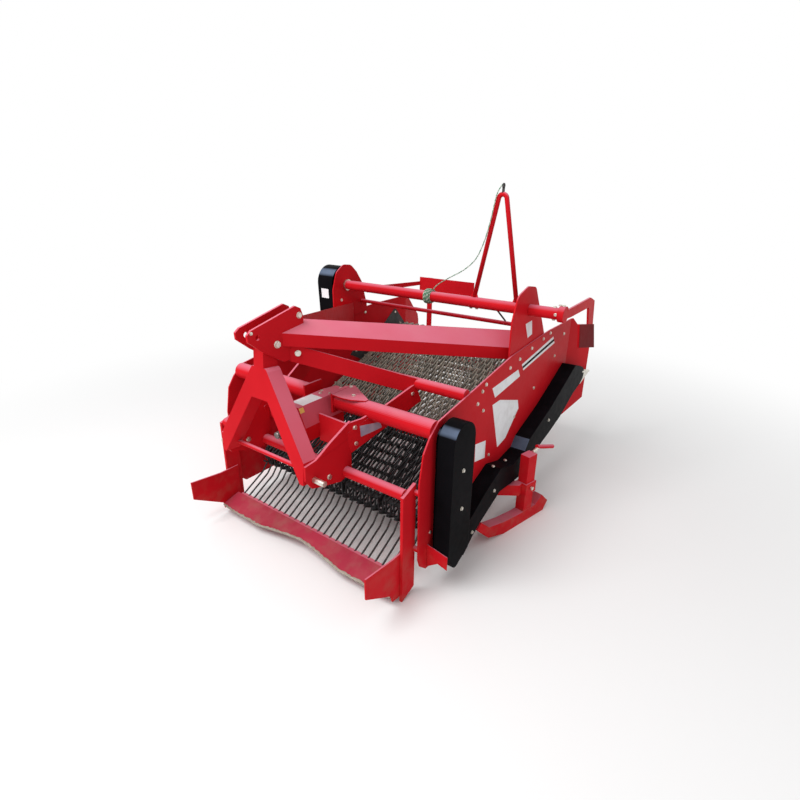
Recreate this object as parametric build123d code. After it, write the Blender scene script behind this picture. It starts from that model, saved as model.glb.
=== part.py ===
from build123d import *
import os
from math import asin, atan2, cos, degrees, hypot, pi, radians, sin

# Bed digger for potatoes: blade, sieve rods and two rising webs between side plates,
# carried on a three-point hitch.
# Millimetres. +X is the machine's left, +Y its rear, +Z up.
# Y is measured here from just behind the blade and Z from the blade's own level; both are
# shifted on export, so that the origin lies on the floor under the middle of the machine.

os.makedirs("parts", exist_ok=True)

# ---- driving dimensions ----
noseY = -283.0            # front of the top-link bracket
tailY = 2160.0            # rear edge of the side plates
midY = (noseY + tailY) / 2
floorZ = -60.0
seat = 0.3                # gap between faces that only rest on each other
runFit = 0.05             # radial clearance of a running shaft

# webs: axes of the end rollers, radius out to the rods, half width
webHalf = 640.0
webGap = 42.0             # from the web's edge to the side plate
webR = 80.0
frontWebA = (330.0, 197.0)
frontWebB = (760.0, 352.0)
rearWebA = (932.0, 413.0)
rearWebB = (1735.0, 712.0)
webRodR = 5.0
webPitch = 45.0
webRodEnd = 2.0           # how far a rod enters its belt
beltHigh = 10.6
beltWide = 45.0
rollerR = webR - beltHigh - seat
shaftR = 17.5

# side plates, flared outwards at the rear, and the ears on them
sideThick = 8.0
earThick = 8.0
innerX = webHalf + webGap
sideX = innerX + sideThick
earInnerX = innerX - earThick
flareY = 1870.0
flareOut = 65.0
plateRoom = 1200.0        # taller than any side plate

# mast, leaning with its feet forward
mastFrontY = -207.0       # front face at the height of the hinge line below
mastLeanZ = 1032.0
mastLean = 5.0
mastDepth = 80.0
neckHalf = 33.0
neckTopZ = 1160.0
neckRootZ = 1045.0
shoulderHalf = 56.0
forkHalf = 54.0
forkZ = 896.0
footHalf = 285.0
footZ = 668.0
footBottomZ = 560.0
footWide = 23.0
crossBarR = 11.0
crossBarY = -188.0
crossBarZ = 600.0
linkThick = 12.0
linkX = neckHalf + linkThick

# lower hitch pins, category 2
hitchY = -192.0
hitchZ = 572.0
pinRadius = 14.0
pinLength = 66.0

# tubes across the machine
frontTubeY, frontTubeZ, frontTubeR = 20.0, 517.0, 27.0
axleTubeY, axleTubeZ, axleTubeR = 194.0, 781.0, 45.0
upperTubeY, upperTubeZ, upperTubeR = 465.0, 862.0, 30.0
bellyTubeY, bellyTubeZ, bellyTubeR = 1100.0, 200.0, 24.0
rearTubeY, rearTubeZ, rearTubeR = 2010.0, 480.0, 24.0
tailTubeY, tailTubeZ, tailTubeR = 2105.0, 372.0, 20.0
earRodY, earRodZ, earRodR = 1300.0, 1025.0, 13.0

# gusset plates from the mast's feet to the cross tubes
gussetThick = 12.0
gussetX = footHalf + gussetThick
gussetBarEnd = (402.0, 465.0, 815.0)

# posts, wings and blade
postGap = 23.0            # between a post and its side plate
postThick = 16.0
postOutX = innerX - postGap
postX = postOutX - postThick
wingThick = 8.0
bladeHalf = postX - wingThick
bladeThick = 10.0
bladeRearY = 30.0
bladeRearZ = 45.0
bladeTilt = 20.0          # degrees, front edge down

# sieve rods behind the blade
rodPitch = 45.0
rodRadius = 6.0
rodEdge = 4.0             # least steel outside the last rod on its carrier
rodRise = 29.0
rodLength = 185.0
rodTip = 60.0
rodTipRise = 50.0

# pivot tube, rope lever and rope
pivotY = 1141.0
pivotZ = 1161.0
pivotR = 32.0
pivotOut = sideX + 182.0
leverTopZ = 1757.0        # centre line at the top of the bend
leverBendR = 24.0
leverFeetX = (335.0, 599.0)
leverRodR = 13.0
eyeThick = 6.0
eyeHoleR = 7.0
ropeR = 4.0
wrapX = (-6.0, 52.0)
wrapDeep = 12.0

# chain cases
caseDeep = 115.0
rearCaseDeep = 92.0
rightCaseDeep = 135.0

# skids
skidX = sideX + 136.0
skidY = 960.0
skidTurn = 13.4
skidHalf = 30.0
legFrontY, legRearY = -13.0, 63.0      # the leg along the skid, from its middle
legHalf = 29.0
legTopZ = 375.0
skidFit = 0.3
sleeveWall = 8.0
sleeveZ = (133.0, 201.0)


def save(shape, name):
    """Writes one piece, shifted to the middle of the machine and the floor."""
    moved = Pos(0, -midY, -floorZ) * shape
    moved.label = name
    export_step(moved, "parts/" + name + ".step")


def faceYZ(points, x=0.0):
    return Pos(x, 0, 0) * make_face(Plane.YZ * Polyline(*points, close=True))


def plateYZ(points, x0, x1, roundings=0.0):
    """A flat plate with an outline in Y and Z, between two X values."""
    face = faceYZ(points, x0)
    if roundings:
        face = fillet(face.vertices(), roundings)
    return extrude(face, amount=x1 - x0, dir=(1, 0, 0))


def plateXZ(points, y0, y1):
    face = make_face(Plane.XZ * Polyline(*points, close=True))
    return extrude(Pos(0, y0, 0) * face, amount=y1 - y0, dir=(0, 1, 0))


def plateXY(points, z0, z1):
    face = make_face(Polyline(*points, close=True))
    return extrude(Pos(0, 0, z0) * face, amount=z1 - z0)


def tubeX(y, z, radius, x0, x1):
    """A round bar along X. The cross tubes are closed by the side plates, so they are solid here."""
    return extrude(Plane((x0, y, z), z_dir=(1, 0, 0)) * Circle(radius), amount=x1 - x0)


def prismX(y, z, radius, x0, x1, sides):
    """A many-sided bar along X, for small shafts."""
    face = RegularPolygon(radius, sides)
    return extrude(Plane((x0, y, z), z_dir=(1, 0, 0)) * face, amount=x1 - x0)


def rodY(z, radius, y0, y1):
    """A round bar along Y on the middle plane."""
    return extrude(Plane((0, y0, z), z_dir=(0, 1, 0)) * Circle(radius), amount=y1 - y0)


def block(x0, x1, y0, y1, z0, z1):
    return Pos((x0 + x1) / 2, (y0 + y1) / 2, (z0 + z1) / 2) * Box(x1 - x0, y1 - y0, z1 - z0)


def beam(start, end, wide, high):
    """A rectangular bar whose sides stay upright, between two points."""
    a, b = Vector(*start), Vector(*end)
    along = b - a
    level = Vector(-along.Y, along.X, 0).normalized()
    section = Plane(a, x_dir=level, z_dir=along)
    return extrude(section * Rectangle(wide, high), amount=along.length)


def mirrored(shape):
    return mirror(shape, about=Plane.YZ)


# ---- side plates and ears ----
sideOutline = [
    (140, 56), (90, 100), (74, 147), (67, 556), (95, 703), (140, 765), (209, 821), (604, 886), (943, 943),
    (1462, 978), (1894, 978), (1965, 920), (2055, 838), (2140, 770), (tailY, 714), (tailY, 335),
    (flareY, 252), (900, 130), (420, 56),
]
# the left ear is pointed, the right one is round about its chain case
earLeftOutline = [
    (935, 900), (925, 964), (907, 1168), (970, 1253), (1100, 1294), (1195, 1237),
    (1303, 1116), (1406, 976), (1410, 940),
]
earRightOutline = [
    (1005, 920), (1001, 1142), (1040, 1250), (1109, 1296), (1180, 1285), (1240, 1240), (1304, 1165),
    (1357, 995), (1360, 945),
]


def sidePlate():
    plan = [(innerX, 0), (sideX, 0), (sideX, flareY), (sideX + flareOut, tailY),
            (sideX + flareOut - sideThick, tailY), (innerX, flareY)]
    return plateXY(plan, 0, plateRoom) & plateYZ(sideOutline, innerX - 1, sideX + flareOut + 1)


def between():
    """The space between the flared side plates, to which the rear tubes are cut."""
    wide = innerX + flareOut
    half = [(innerX, 0), (innerX, flareY), (wide, tailY)]
    return plateXY(half + [(-x, y) for x, y in reversed(half)], 0, plateRoom)


def ear(outline):
    plate = plateYZ(outline, earInnerX, innerX)
    round8 = plate.edges().filter_by(Axis.X).group_by(Axis.Z)[-1]
    plate = fillet(round8, 30)
    return plate - tubeX(pivotY, pivotZ, pivotR + runFit, earInnerX - 1, innerX + 1)


sideLeft = sidePlate()
save(sideLeft, "side_plate_left")
save(mirrored(sideLeft), "side_plate_right")
save(ear(earLeftOutline), "ear_left")
save(mirrored(ear(earRightOutline)), "ear_right")


# ---- mast, top link and hitch pins ----
def mast():
    half = [
        (neckHalf, neckTopZ), (neckHalf, neckRootZ), (linkX, neckRootZ), (shoulderHalf, mastLeanZ),
        (footHalf, footZ), (footHalf, footBottomZ), (footHalf - footWide, footBottomZ), (forkHalf, forkZ),
    ]
    outline = half + [(-x, z) for x, z in reversed(half)]
    upright = plateXZ(outline, 0, mastDepth)
    leaning = Pos(0, mastFrontY, mastLeanZ) * Rot(-mastLean, 0, 0) * Pos(0, 0, -mastLeanZ) * upright
    reach = footHalf - 2 * footWide
    return leaning + tubeX(crossBarY, crossBarZ, crossBarR, -reach, reach)


linkOutline = [
    (-260, 1228), (noseY, 1211), (-281, 1181), (-214, 1126), (-96, 1050), (-13, 1053), (36, 1075), (38, 1238),
    (24, 1276), (-7, 1291),
]
linkBoreY, linkBoreZ, linkBoreR = -229.0, 1192.0, 12.75
linkPlate = plateYZ(linkOutline, neckHalf, linkX)
linkPlate -= tubeX(linkBoreY, linkBoreZ, linkBoreR, neckHalf - 1, linkX + 1)
save(mast(), "mast")
save(linkPlate, "toplink_plate_left")
save(mirrored(linkPlate), "toplink_plate_right")

pin = tubeX(hitchY, hitchZ, pinRadius, gussetX, gussetX + pinLength)
save(Compound([pin, mirrored(pin)]), "lower_hitch_pins")

# ---- main braces: folded beams that widen towards the ears, their tops sloping outwards ----
braceTopInner = ((89, 1213), (1207, 1026))       # Y and Z beside the link plate, and at the ear
braceOuterTop = ((-97, 1184), (1018, 969))
braceOuterLow = ((-97, 1124), (1018, 902))
braceLowInner = ((89, 1095), (1207, 876))
braceInX = 16.0
linkRearY = 38.3


def mainBrace():
    def section(x):
        part = (x - linkX) / (earInnerX - linkX)
        corners = (braceTopInner, braceOuterTop, braceOuterLow, braceLowInner)
        return faceYZ([(a[0] + (b[0] - a[0]) * part, a[1] + (b[1] - a[1]) * part) for a, b in corners], x)
    bar = loft([section(braceInX), section(earInnerX)], ruled=True)
    return bar - block(0, linkX, -300, linkRearY, 1000, 1300)


brace = mainBrace()
save(brace, "main_brace_left")
save(mirrored(brace), "main_brace_right")


# ---- gussets from the mast's feet to the cross tubes, and the lower braces ----
def framePlate():
    foot = [
        (-243, 585), (-240, 655), (-60, 670), (60, 690), (60, 500), (-20, 480), (-150, 515), (-205, 532),
    ]
    piece = plateYZ(foot, footHalf, gussetX)
    piece += beam((footHalf + gussetThick / 2, 40, 655), gussetBarEnd, gussetThick, 110)
    holes = [(frontTubeY, frontTubeZ, frontTubeR), (axleTubeY, axleTubeZ, axleTubeR),
             (upperTubeY, upperTubeZ, upperTubeR)]
    for y, z, radius in holes:
        piece -= tubeX(y, z, radius + seat, footHalf - 60, gussetX + 200)
    return piece


gusset = framePlate()
save(gusset, "frame_plate_left")
save(mirrored(gusset), "frame_plate_right")

lowerBraceFrom = (39.0, -57.0, 1087.0)
lowerBraceTo = (396.0, 447.0, 852.0)
lowerBraceThick = 12.0
lowerBraceHigh = 80.0
lowerBrace = beam(lowerBraceFrom, lowerBraceTo, lowerBraceThick, lowerBraceHigh)
lowerBrace = lowerBrace & block(linkX, sideX, -innerX, innerX, 0, 2 * plateRoom)
lowerBrace = lowerBrace - brace - gusset - tubeX(upperTubeY, upperTubeZ, upperTubeR + seat, 0, innerX)
save(Compound([lowerBrace, mirrored(lowerBrace)]), "lower_braces")

save(tubeX(frontTubeY, frontTubeZ, frontTubeR, -postX, postX), "front_cross_tube")
save(tubeX(axleTubeY, axleTubeZ, axleTubeR, -innerX, innerX), "axle_tube")
save(tubeX(upperTubeY, upperTubeZ, upperTubeR, -innerX, innerX), "upper_cross_tube")

# ---- posts, wings, blade and sieve rods ----
postOutline = [(-12, floorZ), (-12, 521), (86, 553), (86, -25)]
spacerPlaces = [(80, 510), (83, 200)]       # Y and Z of the spacers that hold a post to its side plate
spacerR = 14.0


def post():
    piece = plateYZ(postOutline, postX, postOutX)
    for y, z in spacerPlaces:
        piece += prismX(y, z, spacerR, postOutX, innerX, 12)
    return piece


wingOutline = [(-258, 240), (-257, 130), (-70, 12), (-66, -26), (60, -40), (60, 216), (-66, 217)]
bladeFront = [(0, -50), (120, -62), (314, -95), (560, -92), (bladeHalf, -85), (bladeHalf, -60)]
bladeNarrow = 12.0        # by which the blade narrows to its rear corner


def blade():
    half = bladeFront + [(bladeHalf - bladeNarrow, bladeRearY)]
    outline = Polyline(*half, *[(-x, y) for x, y in reversed(half[1:])], close=True)
    sheet = extrude(make_face(outline), amount=-bladeThick)
    swung = Pos(0, bladeRearY, bladeRearZ) * Rot(bladeTilt, 0, 0) * Pos(0, -bladeRearY, 0) * sheet
    return swung & block(-bladeHalf, bladeHalf, -300, 100, floorZ, 300)


postLeft = post()
save(Compound([postLeft, mirrored(postLeft)]), "blade_posts")
wingLeft = plateYZ(wingOutline, bladeHalf, postX)
save(wingLeft, "wing_left")
save(mirrored(wingLeft), "wing_right")
digger = blade()
save(digger, "digging_blade")


def sieveRods():
    rise, tip = radians(rodRise), radians(rodTipRise)
    reach = bladeHalf - 3 * bladeNarrow
    carrier = block(-reach, reach, bladeRearY + seat, bladeRearY + 22, bladeRearZ - 20, bladeRearZ - 4)
    z0 = bladeRearZ - 10
    y0 = bladeRearY + 8
    bend = (0, y0 + rodLength * cos(rise), z0 + rodLength * sin(rise))
    end = (0, bend[1] + rodTip * cos(tip), bend[2] + rodTip * sin(tip))
    path = Polyline((0, y0, z0), bend, end)
    start = Plane((0, y0, z0), z_dir=(0, cos(rise), sin(rise)))
    rod = sweep(start * RegularPolygon(rodRadius, 6), path=path, transition=Transition.RIGHT)
    solids = carrier - digger
    sideRods = int((reach - rodRadius - rodEdge) // rodPitch)
    for i in range(-sideRods, sideRods + 1):
        solids += Pos(i * rodPitch, 0, 0) * rod
    return solids


save(sieveRods(), "sieve_rods")


# ---- webs ----
def loopPoint(a, b, radius, s):
    """Y, Z and the outward direction at a distance s round a belt over two equal rollers."""
    dy, dz = b[0] - a[0], b[1] - a[1]
    run = hypot(dy, dz)
    turn = pi * radius
    base = atan2(dz, dy)
    if s < run:
        return (a[0] + dy * s / run - radius * sin(base), a[1] + dz * s / run + radius * cos(base), base + pi / 2)
    s -= run
    if s < turn:
        angle = base + pi / 2 - s / radius
        return (b[0] + radius * cos(angle), b[1] + radius * sin(angle), angle)
    s -= turn
    if s < run:
        return (b[0] - dy * s / run + radius * sin(base), b[1] - dz * s / run - radius * cos(base), base - pi / 2)
    s -= run
    angle = base - pi / 2 - s / radius
    return (a[0] + radius * cos(angle), a[1] + radius * sin(angle), angle)


def beltFace(a, b, radius):
    angle = degrees(atan2(b[1] - a[1], b[0] - a[0]))
    run = hypot(b[0] - a[0], b[1] - a[1])
    slot = SlotCenterToCenter(run, 2 * radius)
    return Pos(0, (a[0] + b[0]) / 2, (a[1] + b[1]) / 2) * (Plane.YZ * Rot(0, 0, angle) * slot)


def web(a, b):
    """Two belts joined by cross rods."""
    ring = beltFace(a, b, webR) - beltFace(a, b, webR - beltHigh)
    belt = extrude(ring, amount=beltWide, dir=(1, 0, 0))
    piece = Pos(-webHalf, 0, 0) * belt + Pos(webHalf - beltWide, 0, 0) * belt
    run = hypot(b[0] - a[0], b[1] - a[1])
    rodsAt = webR - beltHigh / 2
    around = 2 * run + 2 * pi * rodsAt
    count = round(around / webPitch)
    reach = webHalf - beltWide + webRodEnd
    rods = []
    for i in range(count):
        y, z, angle = loopPoint(a, b, rodsAt, i * around / count)
        rods.append(prismX(y, z, webRodR, -reach, reach, 6))
    return piece + rods


def rollers(a, b):
    solids = []
    for y, z in (a, b):
        bar = prismX(y, z, shaftR, seat - innerX, innerX - seat, 12)
        for side in (-1, 1):
            x = side * (webHalf - beltWide / 2)
            bar += prismX(y, z, rollerR, x - beltWide / 2, x + beltWide / 2, 12)
        solids.append(bar)
    return Compound(solids)


save(web(frontWebA, frontWebB), "front_web")
save(rollers(frontWebA, frontWebB), "front_web_rollers")
save(web(rearWebA, rearWebB), "rear_web")
save(rollers(rearWebA, rearWebB), "rear_web_rollers")

# ---- gearbox and input shaft ----
ptoZ = 682.0
ptoR = 17.5
ptoTipY = -143.0
ptoStub = 60.0            # free length in front of the shoulder
ptoShoulderR = 20.0
gearFrontY = -40.0
gearNose = 30.0
gearNoseR = 52.0
gearSide = [(gearFrontY, 640), (gearFrontY, 740), (31, 885), (355, 880), (410, 795), (151, 631)]
gearX = (-95.0, 110.0)


def gearbox():
    body = plateYZ(gearSide, *gearX) - tubeX(axleTubeY, axleTubeZ, axleTubeR + seat, -200, 200)
    body += rodY(ptoZ, gearNoseR, gearFrontY - gearNose, gearFrontY)
    return body - rodY(ptoZ, ptoShoulderR + runFit, gearFrontY - 40, gearFrontY + 45)


save(gearbox(), "gearbox")
shoulderY = ptoTipY + ptoStub
shaft = rodY(ptoZ, ptoR, ptoTipY, shoulderY) + rodY(ptoZ, ptoShoulderR, shoulderY, gearFrontY + 37)
save(shaft, "pto_shaft")

# ---- chain cases ----
frontCaseTop = (251.0, 735.0)
frontCaseBottom = (232.0, 106.0)
frontCaseTopR = 97.0
frontCaseLowR = 40.0
frontCaseToeZ = 176.0     # where the front and the rear edge turn in to the rounded foot
frontCaseHeelZ = 115.0
casePad = 32.0            # packing between the side plate and the case
casePadIn = 40.0


def frontCase():
    """A flat case, round at both ends, standing off the side plate on a smaller packing block."""
    y, z = frontCaseTop
    lowY, lowZ = frontCaseBottom
    low = Pos(0, *frontCaseBottom) * (Plane.YZ * Circle(frontCaseLowR))

    def outline(inset):
        wide = frontCaseTopR - inset
        round2 = Pos(0, y, z) * (Plane.YZ * Circle(wide))
        flank = faceYZ([
            (y - wide, z), (y - wide, frontCaseToeZ + inset), (lowY - frontCaseLowR * 0.8, lowZ - frontCaseLowR * 0.6 + inset),
            (lowY, lowZ - frontCaseLowR + inset), (y + wide, frontCaseHeelZ + inset), (y + wide, z)])
        return round2 + flank

    case = extrude(Pos(sideX + casePad, 0, 0) * (outline(0) + low), amount=caseDeep - casePad, dir=(1, 0, 0))
    return case + extrude(Pos(sideX, 0, 0) * outline(casePadIn), amount=casePad, dir=(1, 0, 0))


rearCaseFrontY = frontCaseTop[0] + frontCaseTopR + seat
rearCaseOutline = [
    (rearCaseFrontY, 47), (440, 113), (507, 148), (731, 232), (985, 205), (1088, 255), (1418, 324), (1615, 376),
    (1835, 478), (1955, 507), (2006, 535), (2018, 566), (2008, 598), (1976, 627), (1917, 650), (1850, 670),
    (1800, 684), (1413, 512), (1100, 408), (1045, 352), (877, 335), (722, 380), (559, 318), (425, 249),
    (rearCaseFrontY, 215),
]


def rearCase():
    """The slanting case; at its rear end it makes room for the flared side plate."""
    flare = plateXY([(0, flareY), (sideX + seat, flareY), (sideX + flareOut + seat, tailY), (0, tailY)], 0, plateRoom)
    return plateYZ(rearCaseOutline, sideX, sideX + rearCaseDeep) - flare


rightTop = (1120.0, 1178.0)
rightCaseR = 112.0
rightFace = beltFace((rightTop[0] + 25, 700), rightTop, rightCaseR)
save(frontCase(), "chain_case_front")
save(rearCase(), "chain_case_rear")
save(extrude(Pos(-sideX - rightCaseDeep, 0, 0) * rightFace, amount=rightCaseDeep, dir=(1, 0, 0)), "chain_case_right")

# ---- cross members behind ----
inside = between()
wideX = innerX + flareOut
save(prismX(earRodY, earRodZ, earRodR, -earInnerX, earInnerX, 16), "ear_rod")
save(tubeX(rearTubeY, rearTubeZ, rearTubeR, -wideX, wideX) & inside, "rear_cross_tube")
save(tubeX(tailTubeY, tailTubeZ, tailTubeR, -wideX, wideX) & inside, "tail_tube")
save(tubeX(bellyTubeY, bellyTubeZ, bellyTubeR, -innerX, innerX), "belly_tube")

# deflector board on its post, with a stay from the right ear
boardGap = 50.0           # between the side plate and the board's end
boardOutX = innerX - boardGap
boardLong = 503.0
boardY, boardThick = 1998.0, 8.0
boardZ = (1010.0, 1117.0)
stemIn, stemWide = 72.0, 45.0


def deflector():
    board = block(-boardOutX, boardLong - boardOutX, boardY, boardY + boardThick, *boardZ)
    stemX = stemIn - boardOutX
    stemY = boardY + boardThick
    stem = block(stemX, stemX + stemWide, stemY, stemY + boardThick, rearTubeZ, boardZ[1])
    stem -= tubeX(rearTubeY, rearTubeZ, rearTubeR + seat, stemX - 1, stemX + stemWide + 1)
    stay = plateYZ([(1290, 1130), (1320, 1085), (stemY, 1050), (stemY, 1080)], -boardOutX - boardThick, -boardOutX)
    return board + stem + stay


save(deflector(), "deflector_board")

# ---- pivot tube, lever, arm and rope ----
save(tubeX(pivotY, pivotZ, pivotR, -innerX, pivotOut), "pivot_tube")


def lever():
    """An A of one bent rod on the tube, with an eye for the rope on top."""
    midX = (leverFeetX[0] + leverFeetX[1]) / 2
    halfFoot = (leverFeetX[1] - leverFeetX[0]) / 2
    footZ = pivotZ + pivotR + seat
    startZ = footZ - leverRodR / 2
    # the legs are tangents to the bend, and cross in a sharp corner above it
    bendRise = leverTopZ - leverBendR - startZ
    lean = atan2(halfFoot, bendRise) - asin(leverBendR / hypot(halfFoot, bendRise))
    cornerZ = startZ + halfFoot * cos(lean) / sin(lean)
    feet = [Vector(x, pivotY, startZ) for x in leverFeetX]
    corner = Vector(midX, pivotY, cornerZ)
    path = FilletPolyline(feet[0], corner, feet[1], radius=leverBendR)
    rod = sweep(Plane(feet[0], z_dir=corner - feet[0]) * RegularPolygon(leverRodR, 12), path=path)
    rod -= block(leverFeetX[0] - 50, leverFeetX[1] + 50, pivotY - 50, pivotY + 50, footZ - 40, footZ)
    eye = block(midX - eyeThick / 2, midX + eyeThick / 2, pivotY - 14, pivotY + 14, leverTopZ, leverTopZ + 56)
    return rod + eye - prismX(pivotY, leverTopZ + 42, eyeHoleR, midX - 20, midX + 20, 12)


save(lever(), "a_lever")

# rope from the eye down beside the left leg to the turns wound round the tube
ropeRoute = [
    (460.0, 1141, 1806), (442, 1123, 1777), (430, 1117, 1700), (414, 1118, 1610), (384, 1120, 1505),
    (342, 1121, 1408), (262, 1121, 1340), (167, 1121, 1291), (86, 1128, 1244), (44, 1141, 1208),
]


def routeRadii(route):
    radii = []
    for before, here, after in zip(route, route[1:], route[2:]):
        one, two = Vector(*here) - Vector(*before), Vector(*after) - Vector(*here)
        turn = radians(one.get_angle(two))
        radii.append(0.45 * min(one.length, two.length) / (sin(turn / 2) / cos(turn / 2)))
    return radii


def rope():
    radii = routeRadii(ropeRoute)
    print("rope radii", [round(r) for r in radii])
    path = FilletPolyline(*[Vector(*p) for p in ropeRoute], radius=radii)
    start = Vector(*ropeRoute[0])
    section = Plane(start, z_dir=Vector(*ropeRoute[1]) - start) * RegularPolygon(ropeR, 8)
    tube = sweep(section, path=path)
    print("rope length", round(path.length), "sound", tube.is_valid)
    return tube


save(rope(), "pull_rope")
wrapHoleR = (pivotR + seat) / cos(pi / 16)
wrap = prismX(pivotY, pivotZ, pivotR + wrapDeep, *wrapX, 16) - prismX(
    pivotY, pivotZ, wrapHoleR, wrapX[0] - 1, wrapX[1] + 1, 16)
save(wrap, "rope_wrap")


# the rear arm outside the left chain case: up and back from the tube, then down to its plate
armThick = 12.0
hubWide = 34.0
hubDeep = 12.0
armOutline = [
    (pivotY - 20, pivotZ + 25), (1186, 1182), (1560, 1190), (1644, 1160), (1683, 995), (1591, 1005),
    (1543, 1134), (1239, 1132), (pivotY, pivotZ - 25),
]
armPlate = [(1412, 1057), (1705, 1002), (1788, 832), (1462, 905)]


def leverArm():
    x0, x1 = pivotOut, pivotOut + armThick
    hub = tubeX(pivotY, pivotZ, pivotR + hubDeep, x1 - hubWide, x1)
    hub -= tubeX(pivotY, pivotZ, pivotR + seat, x1 - hubWide - 1, pivotOut + seat)
    return hub + plateYZ(armOutline, x0 + seat, x1) + plateYZ(armPlate, x0 + seat, x1)


save(leverArm(), "lever_arm")

# ---- skids: runners on legs that slide in sleeves ----
runnerOutline = [
    (-423, 71), (-320, -25), (-185, floorZ), (192, floorZ), (231, -5), (165, 60), (105, 16), (-59, 14),
    (-196, 24), (-320, 46), (-395, 110),
]


def atSkid(shape):
    return Pos(skidX, skidY, 0) * Rot(0, 0, -skidTurn) * shape


def skid():
    leg = block(-legHalf, legHalf, legFrontY, legRearY, 0, legTopZ)
    return atSkid(plateYZ(runnerOutline, -skidHalf, skidHalf) + leg)


def skidBracket():
    hole = block(-legHalf - skidFit, legHalf + skidFit, legFrontY - skidFit, legRearY + skidFit, 100, 300)
    out = skidFit + sleeveWall
    sleeve = block(-legHalf - out, legHalf + out, legFrontY - out, legRearY + out, *sleeveZ)
    armAt = skidY - 20
    arm = plateXY([(sideX, armAt - 130), (skidX, armAt - 35), (skidX, armAt + 35), (sideX, armAt - 60)], *sleeveZ)
    solid = (arm + atSkid(sleeve)) - atSkid(hole)
    return solid.solids().sort_by(SortBy.VOLUME)[-1]


skidLeft = skid()
save(skidLeft, "skid_left")
save(mirrored(skidLeft), "skid_right")
bracket = skidBracket()
save(Compound([bracket, mirrored(bracket)]), "skid_brackets")
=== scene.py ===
import bpy, bmesh
import random
from math import atan2, cos, hypot, pi, radians, sin, sqrt, tan, tau
from mathutils import Matrix, Vector


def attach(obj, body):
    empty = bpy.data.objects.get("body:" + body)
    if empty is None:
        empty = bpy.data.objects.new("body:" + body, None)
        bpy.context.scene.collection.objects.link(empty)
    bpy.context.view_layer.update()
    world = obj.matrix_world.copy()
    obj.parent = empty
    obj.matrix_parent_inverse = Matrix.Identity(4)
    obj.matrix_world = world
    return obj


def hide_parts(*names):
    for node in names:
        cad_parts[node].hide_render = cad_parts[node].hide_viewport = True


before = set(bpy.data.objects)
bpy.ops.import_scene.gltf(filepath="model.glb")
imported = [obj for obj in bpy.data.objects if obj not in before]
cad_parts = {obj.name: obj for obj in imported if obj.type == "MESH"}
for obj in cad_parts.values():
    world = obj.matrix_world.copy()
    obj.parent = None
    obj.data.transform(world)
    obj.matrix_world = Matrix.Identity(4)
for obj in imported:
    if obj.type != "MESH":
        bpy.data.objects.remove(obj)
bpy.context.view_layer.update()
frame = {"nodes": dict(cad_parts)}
print("frame loaded:", len(frame["nodes"]), "nodes")

# Places are in the drawing's own millimetres: Y from the blade, Z from the blade's level.
drawing = {"middleY": 938.5, "floorDrop": 60.0}


# millimetres of the drawing to metres of the frame
def place(x, y, z):
    return Vector((x, y - drawing["middleY"], z + drawing["floorDrop"])) / 1000


def addObject(name, data):
    made = bpy.data.objects.new(name, data)
    bpy.context.scene.collection.objects.link(made)
    return made


cameraLook = {"at": (1759.2, -1561.2, 1765.0), "turn": 37.15, "down": 21.93, "roll": 0.13,
              "lens": 22.923, "shiftX": 0.01225, "shiftY": -0.00325}


def aimCamera():
    data = bpy.data.cameras.new("camera")
    data.lens = cameraLook["lens"]
    data.shift_x = cameraLook["shiftX"]
    data.shift_y = cameraLook["shiftY"]
    camera = addObject("camera", data)
    camera.matrix_world = (Matrix.Translation(place(*cameraLook["at"]))
                           @ Matrix.Rotation(radians(cameraLook["turn"]), 4, "Z")
                           @ Matrix.Rotation(radians(90 - cameraLook["down"]), 4, "X")
                           @ Matrix.Rotation(radians(cameraLook["roll"]), 4, "Z"))
    bpy.context.scene.camera = camera
    bpy.context.scene.view_settings.view_transform = "Standard"


# small helpers for node trees
def newMaterial(name):
    mat = bpy.data.materials.new(name)
    mat.use_nodes = True
    tree = mat.node_tree
    return mat, tree.nodes, tree.links, tree.nodes["Principled BSDF"]


def mathNode(nodes, links, operation, *values):
    node = nodes.new("ShaderNodeMath")
    node.operation = operation
    for socket, value in zip(node.inputs, values):
        if isinstance(value, (int, float)):
            socket.default_value = value
        else:
            links.new(value, socket)
    return node.outputs[0]


def times(nodes, links, one, two):
    return mathNode(nodes, links, "MULTIPLY", one, two)


def mixShaders(nodes, links, share, one, two):
    mix = nodes.new("ShaderNodeMixShader")
    for socket, source in zip(mix.inputs, (share, one, two)):
        links.new(source, socket)
    return mix.outputs[0]


studio = {"skyForLight": 0.66, "skySeen": 1.0, "keyWatts": 218.0, "keySize": 3.0, "keyAt": (-0.6, -3.4, 4.8),
          "keyAim": (0.0, 0.0, 0.8), "floorHalf": 30.0, "floorColour": (0.88, 0.88, 0.88), "floorRough": 0.9,
          "fadeFrom": 1.6, "fadeTo": 4.5}


# white for the camera, for gloss and through glass, and dimmer as a lamp
def brightWorld():
    world = bpy.data.worlds.new("studioWorld")
    bpy.context.scene.world = world
    world.use_nodes = True
    nodes, links = world.node_tree.nodes, world.node_tree.links
    nodes.clear()
    out = nodes.new("ShaderNodeOutputWorld")
    rays = nodes.new("ShaderNodeLightPath")
    seen = mathNode(nodes, links, "MAXIMUM", rays.outputs["Is Camera Ray"], rays.outputs["Is Glossy Ray"])
    seen = mathNode(nodes, links, "MAXIMUM", seen, rays.outputs["Is Transmission Ray"])
    skies = []
    for strength in (studio["skyForLight"], studio["skySeen"]):
        sky = nodes.new("ShaderNodeBackground")
        sky.inputs["Color"].default_value = (1, 1, 1, 1)
        sky.inputs["Strength"].default_value = strength
        skies.append(sky.outputs[0])
    links.new(mixShaders(nodes, links, seen, *skies), out.inputs["Surface"])


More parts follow.
